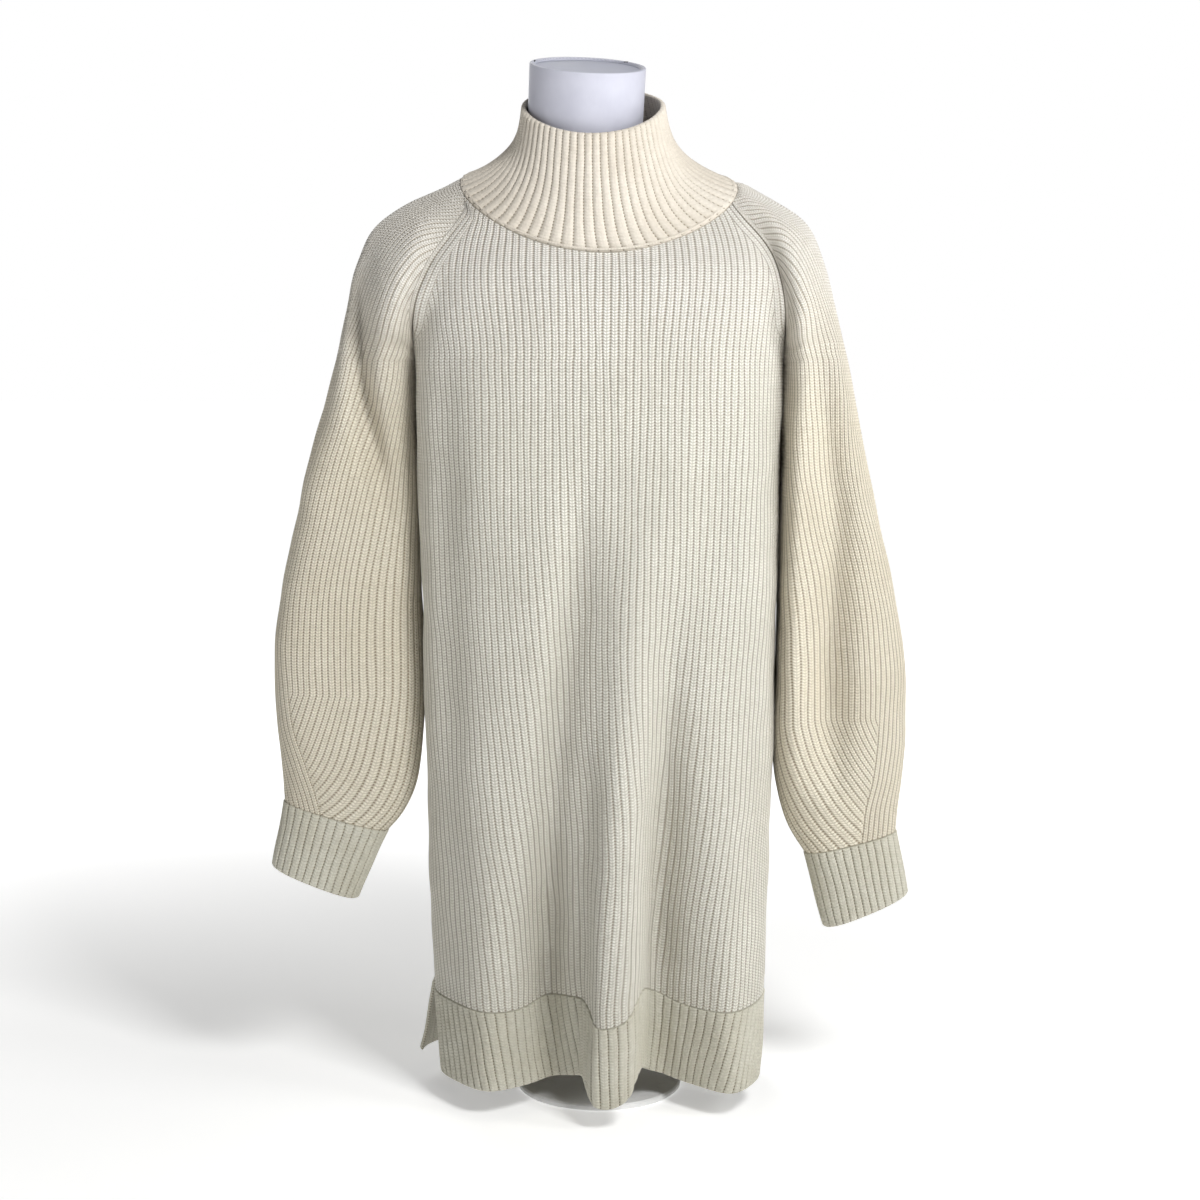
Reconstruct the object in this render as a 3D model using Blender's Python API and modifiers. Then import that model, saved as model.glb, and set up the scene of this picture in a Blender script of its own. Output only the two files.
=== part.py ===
"""Rib-knit sweater dress on a limbless dress form with a flat round foot.

Frame: +Z up, +X to the right of someone facing the front of the dress, the
front faces -Y.  The origin is the centre of the foot's underside.  Metres.

Every cloth piece is one closed wall.  A surface function gives its outer face
as rows of points, the ribs are raised on the outer points only, and the inner
face is the same surface moved in by the wall's thickness.
"""
import math

import bmesh
import bpy
import numpy as np

# ---------------------------------------------------------------- driving sizes
FLOOR_TO_HEM = 0.010        # lowest height of the garment's own zero above the floor
WALL = 0.0024               # knit wall between the ribs
RIB = 0.0014                # how far a body or sleeve rib stands out
WIDE_RIB = 0.0018           # the same for the collar, cuffs and hem bands
SEAM = 0.0002               # half of the gap between two sewn pieces
RAGLAN_GAP = 0.0005         # gap between a sleeve and the panels it is sewn to
BAND = 0.076                # height of the hem bands
VENT = 0.100                # height of the side vents
UNDERARM = 0.700            # height of the underarm point
YOKE_LEVELS = (1.22, 1.45, 1.68, 1.87, 2.0)     # rows shared by panels and sleeves
PANEL_LEVELS = (0.0, 0.25, 0.5, 0.75, 1.0) + YOKE_LEVELS
SLEEVE_LEVELS = (0.0, 0.05, 0.16, 0.40, 0.7, 1.0) + YOKE_LEVELS
COLLAR_LEVELS = (0.0, 0.12, 0.3, 0.6, 1.0)
PANEL_INSIDE = np.linspace(0, 1, 57)            # columns of the plain inner faces
SLEEVE_INSIDE = np.unique(np.concatenate([np.linspace(0, 1, 31), np.linspace(0.42, 0.58, 9)]))
PANEL_RIBS = 50
SLEEVE_RIBS = 44
COLLAR_RIBS = 58
CUFF_RIBS = 26
BAND_RIBS = 50
FRONT, BACK = -1, 1
LEFT, RIGHT = -1, 1         # seen from the front: -X and +X
DENSE = 161                 # points on a section before it is divided evenly
STEP = 0.004                # step of the slopes that give a wall its thickness

# Each half of the body is a rounded-square oval.  One row for each section.
OVAL = ("height", "half_width", "depth", "squareness")
FRONT_SECTIONS = [
    (0.000, 0.1500, 0.0840, 2.20),      # hem
    (0.100, 0.1600, 0.0920, 2.25),      # top of the vents
    (0.200, 0.1630, 0.1020, 2.30),
    (0.320, 0.1655, 0.1120, 2.35),      # hip
    (0.450, 0.1680, 0.1190, 2.40),      # waist, hanging free
    (0.580, 0.1700, 0.1250, 2.50),
    (0.660, 0.1712, 0.1270, 2.50),      # bust
    (0.700, 0.1715, 0.1260, 2.50),      # underarm
    (0.750, 0.1715, 0.1190, 2.50),
    (0.780, 0.1715, 0.1090, 2.50),
    (0.798, 0.1715, 0.0980, 2.50),      # collar seam at the centre front
    (0.815, 0.1715, 0.0860, 2.50),
    (0.830, 0.1715, 0.0725, 2.50),
    (0.846, 0.1715, 0.0515, 2.50),      # collar seam at the raglan seams
]
BACK_SECTIONS = [
    (0.000, 0.1600, 0.0940, 2.20),
    (0.100, 0.1600, 0.1000, 2.25),
    (0.200, 0.1630, 0.1080, 2.30),
    (0.320, 0.1655, 0.1140, 2.35),
    (0.450, 0.1680, 0.1130, 2.40),
    (0.580, 0.1700, 0.1080, 2.50),
    (0.700, 0.1715, 0.1080, 2.50),
    (0.750, 0.1715, 0.1090, 2.50),
    (0.800, 0.1705, 0.1060, 2.45),
    (0.830, 0.1630, 0.1010, 2.30),
    (0.850, 0.1500, 0.0920, 2.15),
    (0.865, 0.1340, 0.0810, 2.05),
    (0.875, 0.1247, 0.0740, 2.00),
]

# The raglan seams, from the underarm up to the collar.
RAGLAN = ("height", "across")
FRONT_RAGLAN = [(0.700, 0.1715), (0.720, 0.1713), (0.750, 0.1685), (0.770, 0.1645),
                (0.790, 0.1580), (0.812, 0.1450), (0.830, 0.1320), (0.846, 0.1212)]
BACK_RAGLAN = [(0.700, 0.1715), (0.730, 0.1710), (0.760, 0.1680), (0.790, 0.1610),
               (0.820, 0.1500), (0.850, 0.1350), (0.872, 0.1212)]

# Folds of the skirt.  Depth is outwards at the hem and fades to nothing at "start";
# "rise" is how far the hem is lifted there.
FOLD = ("across_hem", "across_top", "width", "depth", "start", "rise", "squareness")
FRONT_FOLDS = [
    (-0.108, -0.100, 0.030, 0.028, 0.42, 0.001, 2.0),       # left ridge
    (-0.042, -0.020, 0.026, -0.014, 0.50, 0.012, 2.0),      # left valley
    (0.010, 0.012, 0.0255, 0.053, 0.50, -0.010, 2.6),       # centre ridge
    (0.058, 0.064, 0.024, -0.024, 0.50, 0.024, 2.0),        # right valley
    (0.129, 0.118, 0.031, 0.043, 0.42, 0.001, 2.0),         # right ridge
]
BACK_FOLDS = [
    (-0.120, -0.110, 0.028, 0.034, 0.40, 0.000, 2.0),
    (-0.066, -0.055, 0.026, -0.016, 0.44, 0.010, 2.0),
    (-0.012, -0.004, 0.024, 0.040, 0.48, -0.001, 2.0),
    (0.046, 0.048, 0.026, -0.018, 0.44, 0.012, 2.0),
    (0.104, 0.096, 0.030, 0.032, 0.40, 0.000, 2.0),
]
FRONT_VENT_SPREAD = 0.034   # how far forward the front's corners swing at the hem
BACK_VENT_SPREAD = 0.030
BACK_VENT_FLARE = {LEFT: 0.021, RIGHT: 0.000}    # how far outward its corners swing
HEM_LEVEL = 0.015

# The collar's base runs round the neck as a tipped ellipse.
NECK_ACROSS, NECK_DEEP, NECK_FORWARD = 0.129, 0.086, -0.012
NECK_SIDE_HEIGHT, NECK_TIP, NECK_DIP = 0.860, 0.038, 0.025
NECK_TILT = 0.0025                  # the right shoulder hangs a little lower
NECK_CORNER = math.radians(20)      # the raglan seams meet the collar here
RIM_ACROSS, RIM_DEEP, RIM_FORWARD, RIM_SIDE = 0.0645, 0.0650, -0.020, -0.0062
RIM_HEIGHT, RIM_SLOPE = 0.934, 0.36
COLLAR_FLARE = 0.30                 # how quickly the flare fades up the collar

# Sleeve rings below the underarm, outward distances from the dress's middle.
RING = ("height", "inner", "outer", "front", "back", "slope")
SLEEVE_RINGS = {
    LEFT: [
        (0.700, 0.1720, 0.2480, -0.077, 0.077, 0.00),
        (0.640, 0.1726, 0.2630, -0.075, 0.069, 0.00),
        (0.560, 0.1712, 0.2830, -0.068, 0.058, 0.00),
        (0.480, 0.1702, 0.3015, -0.062, 0.052, 0.00),
        (0.400, 0.1694, 0.3100, -0.057, 0.047, 0.03),
        (0.350, 0.1705, 0.3085, -0.055, 0.045, 0.08),
        (0.310, 0.1760, 0.3050, -0.049, 0.039, 0.16),
        (0.280, 0.1905, 0.3030, -0.038, 0.029, 0.25),
        (0.262, 0.2060, 0.3025, -0.031, 0.021, 0.30),
    ],
    RIGHT: [
        (0.700, 0.1720, 0.2330, -0.077, 0.077, 0.00),
        (0.640, 0.1726, 0.2460, -0.075, 0.069, 0.00),
        (0.560, 0.1712, 0.2635, -0.068, 0.058, 0.00),
        (0.480, 0.1702, 0.2815, -0.062, 0.052, 0.00),
        (0.400, 0.1692, 0.2935, -0.057, 0.047, 0.02),
        (0.345, 0.1690, 0.2945, -0.055, 0.045, 0.05),
        (0.300, 0.1715, 0.2920, -0.049, 0.039, 0.12),
        (0.265, 0.1820, 0.2880, -0.038, 0.029, 0.20),
        (0.236, 0.2010, 0.2870, -0.031, 0.021, 0.25),
    ],
}
CUFF_END = {LEFT: (0.196, 0.2355, 0.3160, -0.031, 0.017, 0.40),
            RIGHT: (0.168, 0.2205, 0.2985, -0.031, 0.017, 0.42)}

# The sleeve's yoke: points of each section between the two raglan seams, from the
# underarm (0) to the collar (1).
YOKE = ("rise", "front_across", "front_out", "front_height", "top_height",
        "back_across", "back_out", "back_height", "fullness")
SLEEVE_YOKE = [
    (0.00, 0.2100, -0.077, 0.700, 0.700, 0.2100, 0.077, 0.700, 1.60),
    (0.20, 0.2030, -0.079, 0.742, 0.746, 0.2030, 0.074, 0.744, 1.45),
    (0.40, 0.1905, -0.075, 0.782, 0.788, 0.1905, 0.063, 0.788, 1.30),
    (0.60, 0.1745, -0.066, 0.813, 0.823, 0.1745, 0.052, 0.826, 1.15),
    (0.75, 0.1590, -0.055, 0.831, 0.842, 0.1600, 0.040, 0.848, 1.05),
    (0.90, 0.1390, -0.039, 0.845, 0.855, 0.1400, 0.020, 0.862, 1.00),
    (1.00, 0.1272, -0.027, 0.855, 0.862, 0.1272, 0.003, 0.867, 1.00),
]
YOKE_TOP = {LEFT: [(0.00, 0.2480), (0.20, 0.2395), (0.40, 0.2310), (0.60, 0.2140),
                   (0.75, 0.1880), (0.90, 0.1500), (1.00, 0.1290)],
            RIGHT: [(0.00, 0.2330), (0.20, 0.2225), (0.40, 0.2110), (0.60, 0.1960),
                    (0.75, 0.1755), (0.90, 0.1470), (1.00, 0.1290)]}

# Long creases down the sleeves: where round the sleeve (0 at the underarm, going over
# the front), how wide, how deep, and between which heights.
CREASE = ("around", "width", "depth", "low", "high")
SLEEVE_CREASES = {LEFT: [(0.27, 0.045, 0.011, 0.36, 0.80), (0.74, 0.050, 0.009, 0.34, 0.78)],
                  RIGHT: [(0.25, 0.055, 0.009, 0.34, 0.78), (0.76, 0.045, 0.010, 0.36, 0.80)]}

# The dress form: smooth ovals whose middle moves forward up the neck.
FORM = ("height", "half_width", "front", "back", "squareness")
FORM_SECTIONS = [
    (0.215, 0.1250, 0.0640, 0.0760, 2.2),
    (0.225, 0.1350, 0.0720, 0.0840, 2.2),
    (0.290, 0.1440, 0.0800, 0.0930, 2.2),
    (0.380, 0.1400, 0.0840, 0.0880, 2.2),
    (0.460, 0.1270, 0.0800, 0.0750, 2.2),
    (0.560, 0.1380, 0.1000, 0.0780, 2.3),
    (0.640, 0.1520, 0.1140, 0.0880, 2.3),
    (0.700, 0.1590, 0.1100, 0.0940, 2.4),
    (0.760, 0.1600, 0.0960, 0.0940, 2.4),
    (0.800, 0.1590, 0.0720, 0.0890, 2.3),
    (0.825, 0.1560, 0.0550, 0.0760, 2.2),
    (0.8400, 0.1490, 0.0470, 0.0640, 2.1),
    (0.8514, 0.1390, 0.0430, 0.0560, 2.1),
    (0.8597, 0.1250, 0.0420, 0.0500, 2.0),
    (0.8667, 0.1080, 0.0420, 0.0470, 2.0),
    (0.8747, 0.0930, 0.0450, 0.0470, 2.0),
    (0.8860, 0.0780, 0.0500, 0.0480, 2.0),      # foot of the neck
]
SHOULDER_LEAN = 0.0194      # the right shoulder is lower by this much of its distance
NECK_LEAN, NECK_ROLL = math.radians(14), math.radians(3)
NECK_RADIUS = 0.0530
NECK_TOP = (-0.0105, -0.0290, 0.966)
CAP_RIM, CAP_HEIGHT, CAP_DISH = 0.007, 0.010, 0.005
POLE_RADIUS = 0.014
FOOT_RADIUS, FOOT_THICK, FOOT_BEVEL = 0.080, 0.006, 0.0015
FORM_SIDES = 36


# ---------------------------------------------------------------- small tools
def smooth(table, column, at):
    """Value of one column of a table at a place in its first column, along a
    smooth curve that never overshoots its rows."""
    rows = np.array(table, dtype=float)
    if rows[0, 0] > rows[-1, 0]:
        rows = rows[::-1]
    x, y = rows[:, 0], rows[:, column]
    gap, rise = np.diff(x), np.diff(y)
    slope = rise / gap
    tangent = np.concatenate(([slope[0]], (slope[:-1] + slope[1:]) / 2, [slope[-1]]))
    turning = slope[:-1] * slope[1:] <= 0
    tangent[1:-1][turning] = 0.0
    at = np.clip(np.asarray(at, dtype=float), x[0], x[-1])
    i = np.clip(np.searchsorted(x, at, side="right") - 1, 0, len(gap) - 1)
    t = (at - x[i]) / gap[i]
    return (y[i] * (1 + 2 * t) * (1 - t) ** 2 + y[i + 1] * t * t * (3 - 2 * t)
            + gap[i] * (tangent[i] * t * (1 - t) ** 2 + tangent[i + 1] * t * t * (t - 1)))


def ease(t):
    """Smooth step from 0 to 1."""
    t = np.clip(t, 0.0, 1.0)
    return t * t * (3 - 2 * t)


def divide(line, fractions):
    """Points at fractions of a polyline's length."""
    length = np.concatenate(([0.0], np.cumsum(np.linalg.norm(np.diff(line, axis=0), axis=1))))
    at = np.clip(fractions, 0.0, 1.0) * length[-1]
    return np.stack([np.interp(at, length, line[:, i]) for i in range(3)], axis=1)


def line_length(line):
    return float(np.linalg.norm(np.diff(line, axis=0), axis=1).sum())


def unit(vectors):
    return vectors / np.maximum(np.linalg.norm(vectors, axis=-1, keepdims=True), 1e-12)


# ---------------------------------------------------------------- body panels
def sections_of(face):
    return FRONT_SECTIONS if face == FRONT else BACK_SECTIONS


def fold_out(face, across, height):
    """How far the folds push the skirt outwards."""
    out = np.zeros_like(across)
    for hem, top, width, depth, start, _, square in FRONT_FOLDS if face == FRONT else BACK_FOLDS:
        low = np.clip(1 - height / start, 0.0, 1.0)
        middle = top + (hem - top) * low
        out += depth * low ** 1.25 * np.exp(-np.abs((across - middle) / width) ** square)
    return out


def hem_height(face, across):
    height = np.full_like(across, HEM_LEVEL)
    for hem, _, width, _, _, rise, _ in FRONT_FOLDS if face == FRONT else BACK_FOLDS:
        height += rise * np.exp(-((across - hem) / (1.3 * width)) ** 2)
    return height


def oval_point(face, turn, height):
    """Point of the body at turn -1 (left side) to 1 (right side), seen from outside."""
    table = sections_of(face)
    half = smooth(table, 1, height)
    depth = smooth(table, 2, height)
    power = 2 / smooth(table, 3, height)
    angle = np.clip(turn, -1.0, 1.0) * math.pi / 2
    low = np.clip(1 - height / VENT, 0.0, 1.0)
    spread = low * (FRONT_VENT_SPREAD if face == FRONT else BACK_VENT_SPREAD)
    if face == BACK:
        half = half + np.where(angle > 0, BACK_VENT_FLARE[LEFT], BACK_VENT_FLARE[RIGHT]) * low
    across = -face * half * np.sign(angle) * np.abs(np.sin(angle)) ** power
    out = spread + (depth - spread) * np.abs(np.cos(angle)) ** power
    out = out + fold_out(face, across, height)
    return np.stack([across, face * (out + SEAM), height + 0 * across], axis=-1)


def turn_of(face, across, height):
    """Turn of the body's oval at a distance across, towards the side."""
    table = sections_of(face)
    part = np.clip(across / smooth(table, 1, height), 0.0, 1.0)
    return np.arcsin(part ** (smooth(table, 3, height) / 2)) * 2 / math.pi


def neck_seam(angle):
    """Point of the collar seam; angle 0 is +X and a negative one is in front."""
    s = np.sin(angle)
    c = np.cos(angle)
    return np.stack([NECK_ACROSS * c, NECK_FORWARD + NECK_DEEP * s,
                     NECK_SIDE_HEIGHT + NECK_TIP * s - NECK_DIP * s * s - NECK_TILT * c], axis=-1)


def panel_row(face, u, v):
    """Points of a body panel at fractions u of its width, v 0 at the hem band's
    seam, 1 at the underarm and 2 at the collar and raglan seams."""
    turns = np.linspace(-1, 1, DENSE)
    u = np.asarray(u, dtype=float)
    if v <= 1:
        hem = hem_height(face, oval_point(face, 2 * u - 1, HEM_LEVEL + 0 * u)[:, 0])
        foot = hem + BAND
        height = foot + (UNDERARM - foot) * v
        level = float(np.mean(height))
        line = oval_point(face, turns, level + 0 * turns)
        length = np.concatenate(([0.0], np.cumsum(np.linalg.norm(np.diff(line, axis=0), axis=1))))
        turn = np.interp(u * length[-1], length, turns)
        return oval_point(face, turn, height)
    rise = v - 1
    line = oval_point(face, turns, UNDERARM + 0 * turns)
    length = np.concatenate(([0.0], np.cumsum(np.linalg.norm(np.diff(line, axis=0), axis=1))))
    start = np.interp(u * length[-1], length, turns)
    corner = math.pi / 2 - NECK_CORNER
    top = neck_seam(face * math.pi / 2 + (2 * u - 1) * corner)
    seam_turn = turn_of(face, np.abs(top[:, 0]), top[:, 2]) * np.sign(2 * u - 1)
    height = UNDERARM + rise * (top[:, 2] - UNDERARM)
    raglan = FRONT_RAGLAN if face == FRONT else BACK_RAGLAN
    top_edge = raglan[-1][0]
    edge_height = UNDERARM + rise * (top_edge - UNDERARM)
    edge = turn_of(face, smooth(raglan, 1, edge_height), edge_height)
    last = turn_of(face, raglan[-1][1], top_edge)
    share = (1 - edge) / (1 - last)
    turn = start + (seam_turn - start) * share
    points = oval_point(face, turn, height)
    landing = oval_point(face, seam_turn, top[:, 2])
    return points + ease(rise) ** 2 * (top - landing)


def band_row(face, u, v):
    """Points of a hem band, v 0 at the hem and 1 at its seam with the panel."""
    turns = np.linspace(-1, 1, DENSE)
    u = np.asarray(u, dtype=float)
    hem = hem_height(face, oval_point(face, 2 * u - 1, HEM_LEVEL + 0 * u)[:, 0])
    height = hem + BAND * v
    line = oval_point(face, turns, float(np.mean(height)) + 0 * turns)
    length = np.concatenate(([0.0], np.cumsum(np.linalg.norm(np.diff(line, axis=0), axis=1))))
    return oval_point(face, np.interp(u * length[-1], length, turns), height)


# ---------------------------------------------------------------- sleeves
def hermite(points, tangents, count):
    """Curve through points with given tangents, the same number of points a span."""
    t = np.linspace(0, 1, count)[:, None]
    spans = []
    for p, q, a, b in zip(points[:-1], points[1:], tangents[:-1], tangents[1:]):
        spans.append(p * (1 + 2 * t) * (1 - t) ** 2 + q * t * t * (3 - 2 * t)
                     + a * t * (1 - t) ** 2 + b * t * t * (t - 1))
    return np.concatenate([spans[0]] + [s[1:] for s in spans[1:]])


def raglan_point(face, side, rise):
    """Point of a raglan seam, rise 0 at the underarm and 1 at the collar."""
    u = 1.0 if face * side < 0 else 0.0
    point = panel_row(face, np.array([u]), 1 + rise)[0]
    return point - (0.0, face * SEAM, 0.0) + (side * RAGLAN_GAP, 0.0, 0.0)


def ring_points(side, ring):
    height, inner, outer, front, back, slope = ring
    middle, half = (inner + outer) / 2, (outer - inner) / 2
    level = (front + back) / 2
    corners = [(inner, level, height - slope * half), (middle, front, height),
               (outer, level, height + slope * half), (middle, back, height)]
    return [np.array((side * x, y, z)) for x, y, z in corners]


def sleeve_line(side, v):
    """Section of a sleeve from the underarm or front raglan seam, over the front,
    to the back; v 0 at the cuff, 1 at the underarm, 2 at the collar."""
    if v <= 1:
        rings = SLEEVE_RINGS[side]
        top, low = rings[0][0], rings[-1][0]
        height = low + (top - low) * v
        ring = (height,) + tuple(float(smooth(rings, c, height)) for c in range(1, 6))
        inner, front, outer, back = ring_points(side, ring)
        full = 1.60
        points = [inner, front, outer, back, inner]
        across, deep = (outer - inner) / 2 * full, (back - front) / 2 * full
        tangents = [-deep, across, deep, -across, -deep]
        return hermite(points, tangents, DENSE // 4)
    rise = v - 1
    value = [float(smooth(SLEEVE_YOKE, c, rise)) for c in range(9)]
    start = raglan_point(FRONT, side, rise)
    end = raglan_point(BACK, side, rise)
    front = np.array((side * value[1], value[2], value[3]))
    top = np.array((side * float(smooth(YOKE_TOP[side], 1, rise)), (value[2] + value[6]) / 2, value[4]))
    back = np.array((side * value[5], value[6], value[7]))
    if rise > 0.9:
        near = float(ease((rise - 0.9) / 0.1))
        for point, angle in ((front, -NECK_CORNER / 2), (top, 0.0), (back, NECK_CORNER / 2)):
            seam = neck_seam(np.array(angle if side == RIGHT else math.pi - angle))
            point += near * (seam - point)
    full = value[8]
    front[0] += side * (float(YOKE_TOP[side][0][1]) - 0.2480) / 2 * (1 - rise)
    back[0] += side * (float(YOKE_TOP[side][0][1]) - 0.2480) / 2 * (1 - rise)
    open_part = float(ease(rise / 0.35))
    tangents = [(1 - open_part) * (front - back) / 2 * 1.6 + open_part * (front - start),
                (top - start) / 2 * full, (back - front) / 2 * full, (end - top) / 2 * full,
                (1 - open_part) * (front - back) / 2 * 1.6 + open_part * (end - back)]
    return hermite([start, front, top, back, end], tangents, DENSE // 4)


def sleeve_share(side, line, u, v):
    """Fractions of a section for fractions u of the sleeve's full girth.  Above the
    underarm the ribs keep their spacing and end on the raglan seams."""
    if v <= 1:
        return np.clip(u, 0.0, 1.0)
    girth = line_length(sleeve_line(side, 1.0))
    return np.clip(0.5 + (u - 0.5) * girth / line_length(line), 0.0, 1.0)


def sleeve_row(side, u, v):
    """Points of a sleeve at fractions u of its full girth."""
    line = sleeve_line(side, v)
    return creased(side, line, sleeve_share(side, line, u, v))


def sleeve_outward(side, u, v, low, high):
    """Unit normals of a sleeve's row, also where its ribs end on a raglan seam."""
    line = sleeve_line(side, v)
    share = sleeve_share(side, line, u, v)
    up = (creased(side, sleeve_line(side, min(high, v + STEP)), share)
          - creased(side, sleeve_line(side, max(low, v - STEP)), share))
    along = (creased(side, line, np.clip(share + STEP, 0, 1))
             - creased(side, line, np.clip(share - STEP, 0, 1)))
    return unit(np.cross(along, up)) * side


def creased(side, line, share):
    """Points at fractions of a sleeve's section, pushed in by its creases."""
    points = divide(line, share)
    level = points[:, 2]
    middle = divide(line, np.array([0.0, 0.25, 0.5, 0.75])).mean(axis=0)
    for place, width, depth, low, high in SLEEVE_CREASES[side]:
        fade = ease((level - low) / 0.06) * ease((high - level) / 0.08)
        push = depth * fade * np.exp(-((share - place) / width) ** 2)
        inward = unit((middle - points) * (1, 1, 0))
        points = points + push[:, None] * inward
    return points


def cuff_row(side, u, v):
    """Points of a cuff, v 0 at its open end and 1 at the sleeve."""
    top, end = SLEEVE_RINGS[side][-1], CUFF_END[side]
    ring = tuple(b + (a - b) * v for a, b in zip(top, end))
    inner, front, outer, back = ring_points(side, ring)
    across, deep = (outer - inner) / 2 * 1.6, (back - front) / 2 * 1.6
    line = hermite([inner, front, outer, back, inner], [-deep, across, deep, -across, -deep],
                   DENSE // 4)
    return divide(line, u)


# ---------------------------------------------------------------- collar
def collar_row(u, v):
    """Points of the collar, v 0 at the neck seam and 1 at the rim; u runs round from
    the wearer's back, seen from outside from left to right."""
    angle = math.pi / 2 + 2 * math.pi * np.asarray(u, dtype=float)
    base = neck_seam(angle)
    c, s = np.cos(angle), np.sin(angle)
    y = RIM_FORWARD + RIM_DEEP * s
    rim = np.stack([RIM_SIDE + RIM_ACROSS * c, y, RIM_HEIGHT + RIM_SLOPE * (y - RIM_FORWARD)], axis=-1)
    full = math.exp(-1 / COLLAR_FLARE)
    flare = (math.exp(-v / COLLAR_FLARE) - full) / (1 - full)
    straight = 0.5 * np.abs(s) ** 1.5
    spread = (flare + straight * (1 - v - flare))[:, None]
    points = rim + (base - rim) * spread
    points[:, 2] = base[:, 2] + (rim[:, 2] - base[:, 2]) * v
    return points


# ---------------------------------------------------------------- walls
def outward(row, u, v, low, high):
    """Unit normals of a surface's row, by its slopes along and up."""
    below, above = max(low, v - STEP), min(high, v + STEP)
    up = row(u, above) - row(u, below)
    side = row(u + STEP, v) - row(u - STEP, v)
    return unit(np.cross(side, up))


def neck_outward(points):
    """Outward directions shared by all that meets at the collar seam."""
    angle = np.arctan2((points[:, 1] - NECK_FORWARD) / NECK_DEEP, points[:, 0] / NECK_ACROSS)
    return outward(collar_row, (angle - math.pi / 2) / (2 * math.pi), 0.0, 0.0, 1.0)


def raglan_outward(face, side, v):
    """Outward direction of a raglan seam, between those of its two pieces."""
    panel_end = np.array([1.0 if face * side < 0 else 0.0])
    sleeve_end = np.array([0.0 if face == FRONT else 1.0])
    panel = outward(lambda u, w: panel_row(face, u, w), panel_end, v, 1.0, 2.0)
    sleeve = sleeve_outward(side, sleeve_end, v, 1.0, 2.0)
    return unit(panel + sleeve)[0]


def share_raglans(base, direction, v, first, last):
    """Turn the directions at a row's two ends towards those of the raglan seams."""
    share = float(ease((v - 1.2) / 0.4))
    for end, seam in ((base[0], first), (base[-1], last)):
        there = np.linalg.norm(base - end, axis=1) < 1e-5
        direction[there] = unit(direction[there] * (1 - share) + raglan_outward(*seam, v) * share)
    return direction


def wall_row(row, normal, u, v, levels, closed, ends, seams=None):
    """One row of a wall: its points and the outward directions there."""
    base = row(u, v)
    direction = neck_outward(base) if v == 2.0 else normal(u, v, levels[0], levels[-1])
    if seams and 1.1 < v < 2.0:
        direction = share_raglans(base, direction, v, *seams)
    if closed:
        base[-1] = base[0]
        direction[0] = direction[-1] = unit(direction[0] + direction[-1])
    if v == levels[0]:
        base = base + ends[0] * unit(row(u, v + STEP) - base)
    if v == levels[-1]:
        base = base + ends[1] * unit(row(u, v - STEP) - base)
    return base, direction


def knit_wall(name, row, levels, ribs, relief, wool, inside, closed_to=-1.0, normal=None,
              ends=(0, 0), calm=None, seams=None):
    """One closed wall: ribs raised on the outer points over a plain inside.

    levels are the surface's row values from low to high, and rows up to closed_to
    join round.  inside has the places of the inner face's columns, and ends are the
    distances that the first and last rows are drawn back."""
    if normal is None:
        normal = lambda u, v, low, high: outward(row, u, v, low, high)
    outer_u = np.linspace(0.0, 1.0, 2 * ribs + 1)
    inner_u = np.array(inside)
    ridge = relief * (np.arange(2 * ribs + 1) % 2)
    outer_rows, inner_rows = [], []
    for v in levels:
        closed = v <= closed_to
        base, direction = wall_row(row, normal, outer_u, v, levels, closed, ends, seams)
        height = ridge if calm is None else ridge * calm(base)
        if not closed:
            height = height * (np.linalg.norm(base - base[0], axis=1) > 1e-5)
            height = height * (np.linalg.norm(base - base[-1], axis=1) > 1e-5)
        outer_rows.append(base + height[:, None] * direction)
        base, direction = wall_row(row, normal, inner_u, v, levels, closed, ends, seams)
        inner_rows.append(base - WALL * direction)
    return wall_mesh(name, outer_rows, inner_rows, outer_u, inner_u, levels, closed_to, wool)


def underarm_calm(points):
    """Ribs fade out at a piece's edges, where a sleeve hangs against the body."""
    from_ends = np.minimum(np.linalg.norm(points - points[0], axis=1),
                           np.linalg.norm(points - points[-1], axis=1))
    beside = 1 - ease((from_ends - 0.010) / 0.014)
    height = points[:, 2]
    near = ease((height - 0.24) / 0.05) * ease((0.84 - height) / 0.04)
    return 1 - beside * near


def wall_mesh(name, outer, inner, outer_u, inner_u, levels, closed_to, material):
    """Closed mesh between rows of outer and inner points."""
    mesh = bmesh.new()
    known = {}

    def vertex(point):
        key = tuple(int(round(c * 1e6)) for c in point)
        if key not in known:
            known[key] = mesh.verts.new(point)
        return known[key]

    def face(*corners):
        distinct = []
        for corner in corners:
            if corner not in distinct:
                distinct.append(corner)
        if len(distinct) >= 3 and mesh.faces.get(distinct) is None:
            mesh.faces.new(distinct)

    def strip(first, second, first_at, second_at):
        """Triangles between two lines of unlike numbers of points."""
        i = j = 0
        while i < len(first) - 1 or j < len(second) - 1:
            go_first = j == len(second) - 1 or (
                i < len(first) - 1 and first_at[i + 1] <= second_at[j + 1] + 1e-9)
            if go_first:
                face(first[i], first[i + 1], second[j])
                i += 1
            else:
                face(first[i], second[j + 1], second[j])
                j += 1

    out = [[vertex(p) for p in line] for line in outer]
    ins = [[vertex(p) for p in line] for line in inner]
    for grid in (out, ins):
        for a, b in zip(grid[:-1], grid[1:]):
            for k in range(len(a) - 1):
                face(a[k], a[k + 1], b[k + 1], b[k])
    for line in (0, -1):
        strip(out[line], ins[line], outer_u, inner_u)
    for r in range(len(out) - 1):
        if levels[r + 1] <= closed_to:
            continue
        for c in (0, -1):
            face(out[r][c], out[r + 1][c], ins[r + 1][c], ins[r][c])
    bmesh.ops.triangulate(mesh, faces=mesh.faces[:])
    bmesh.ops.recalc_face_normals(mesh, faces=mesh.faces[:])
    return finish(name, mesh, material)


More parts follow.
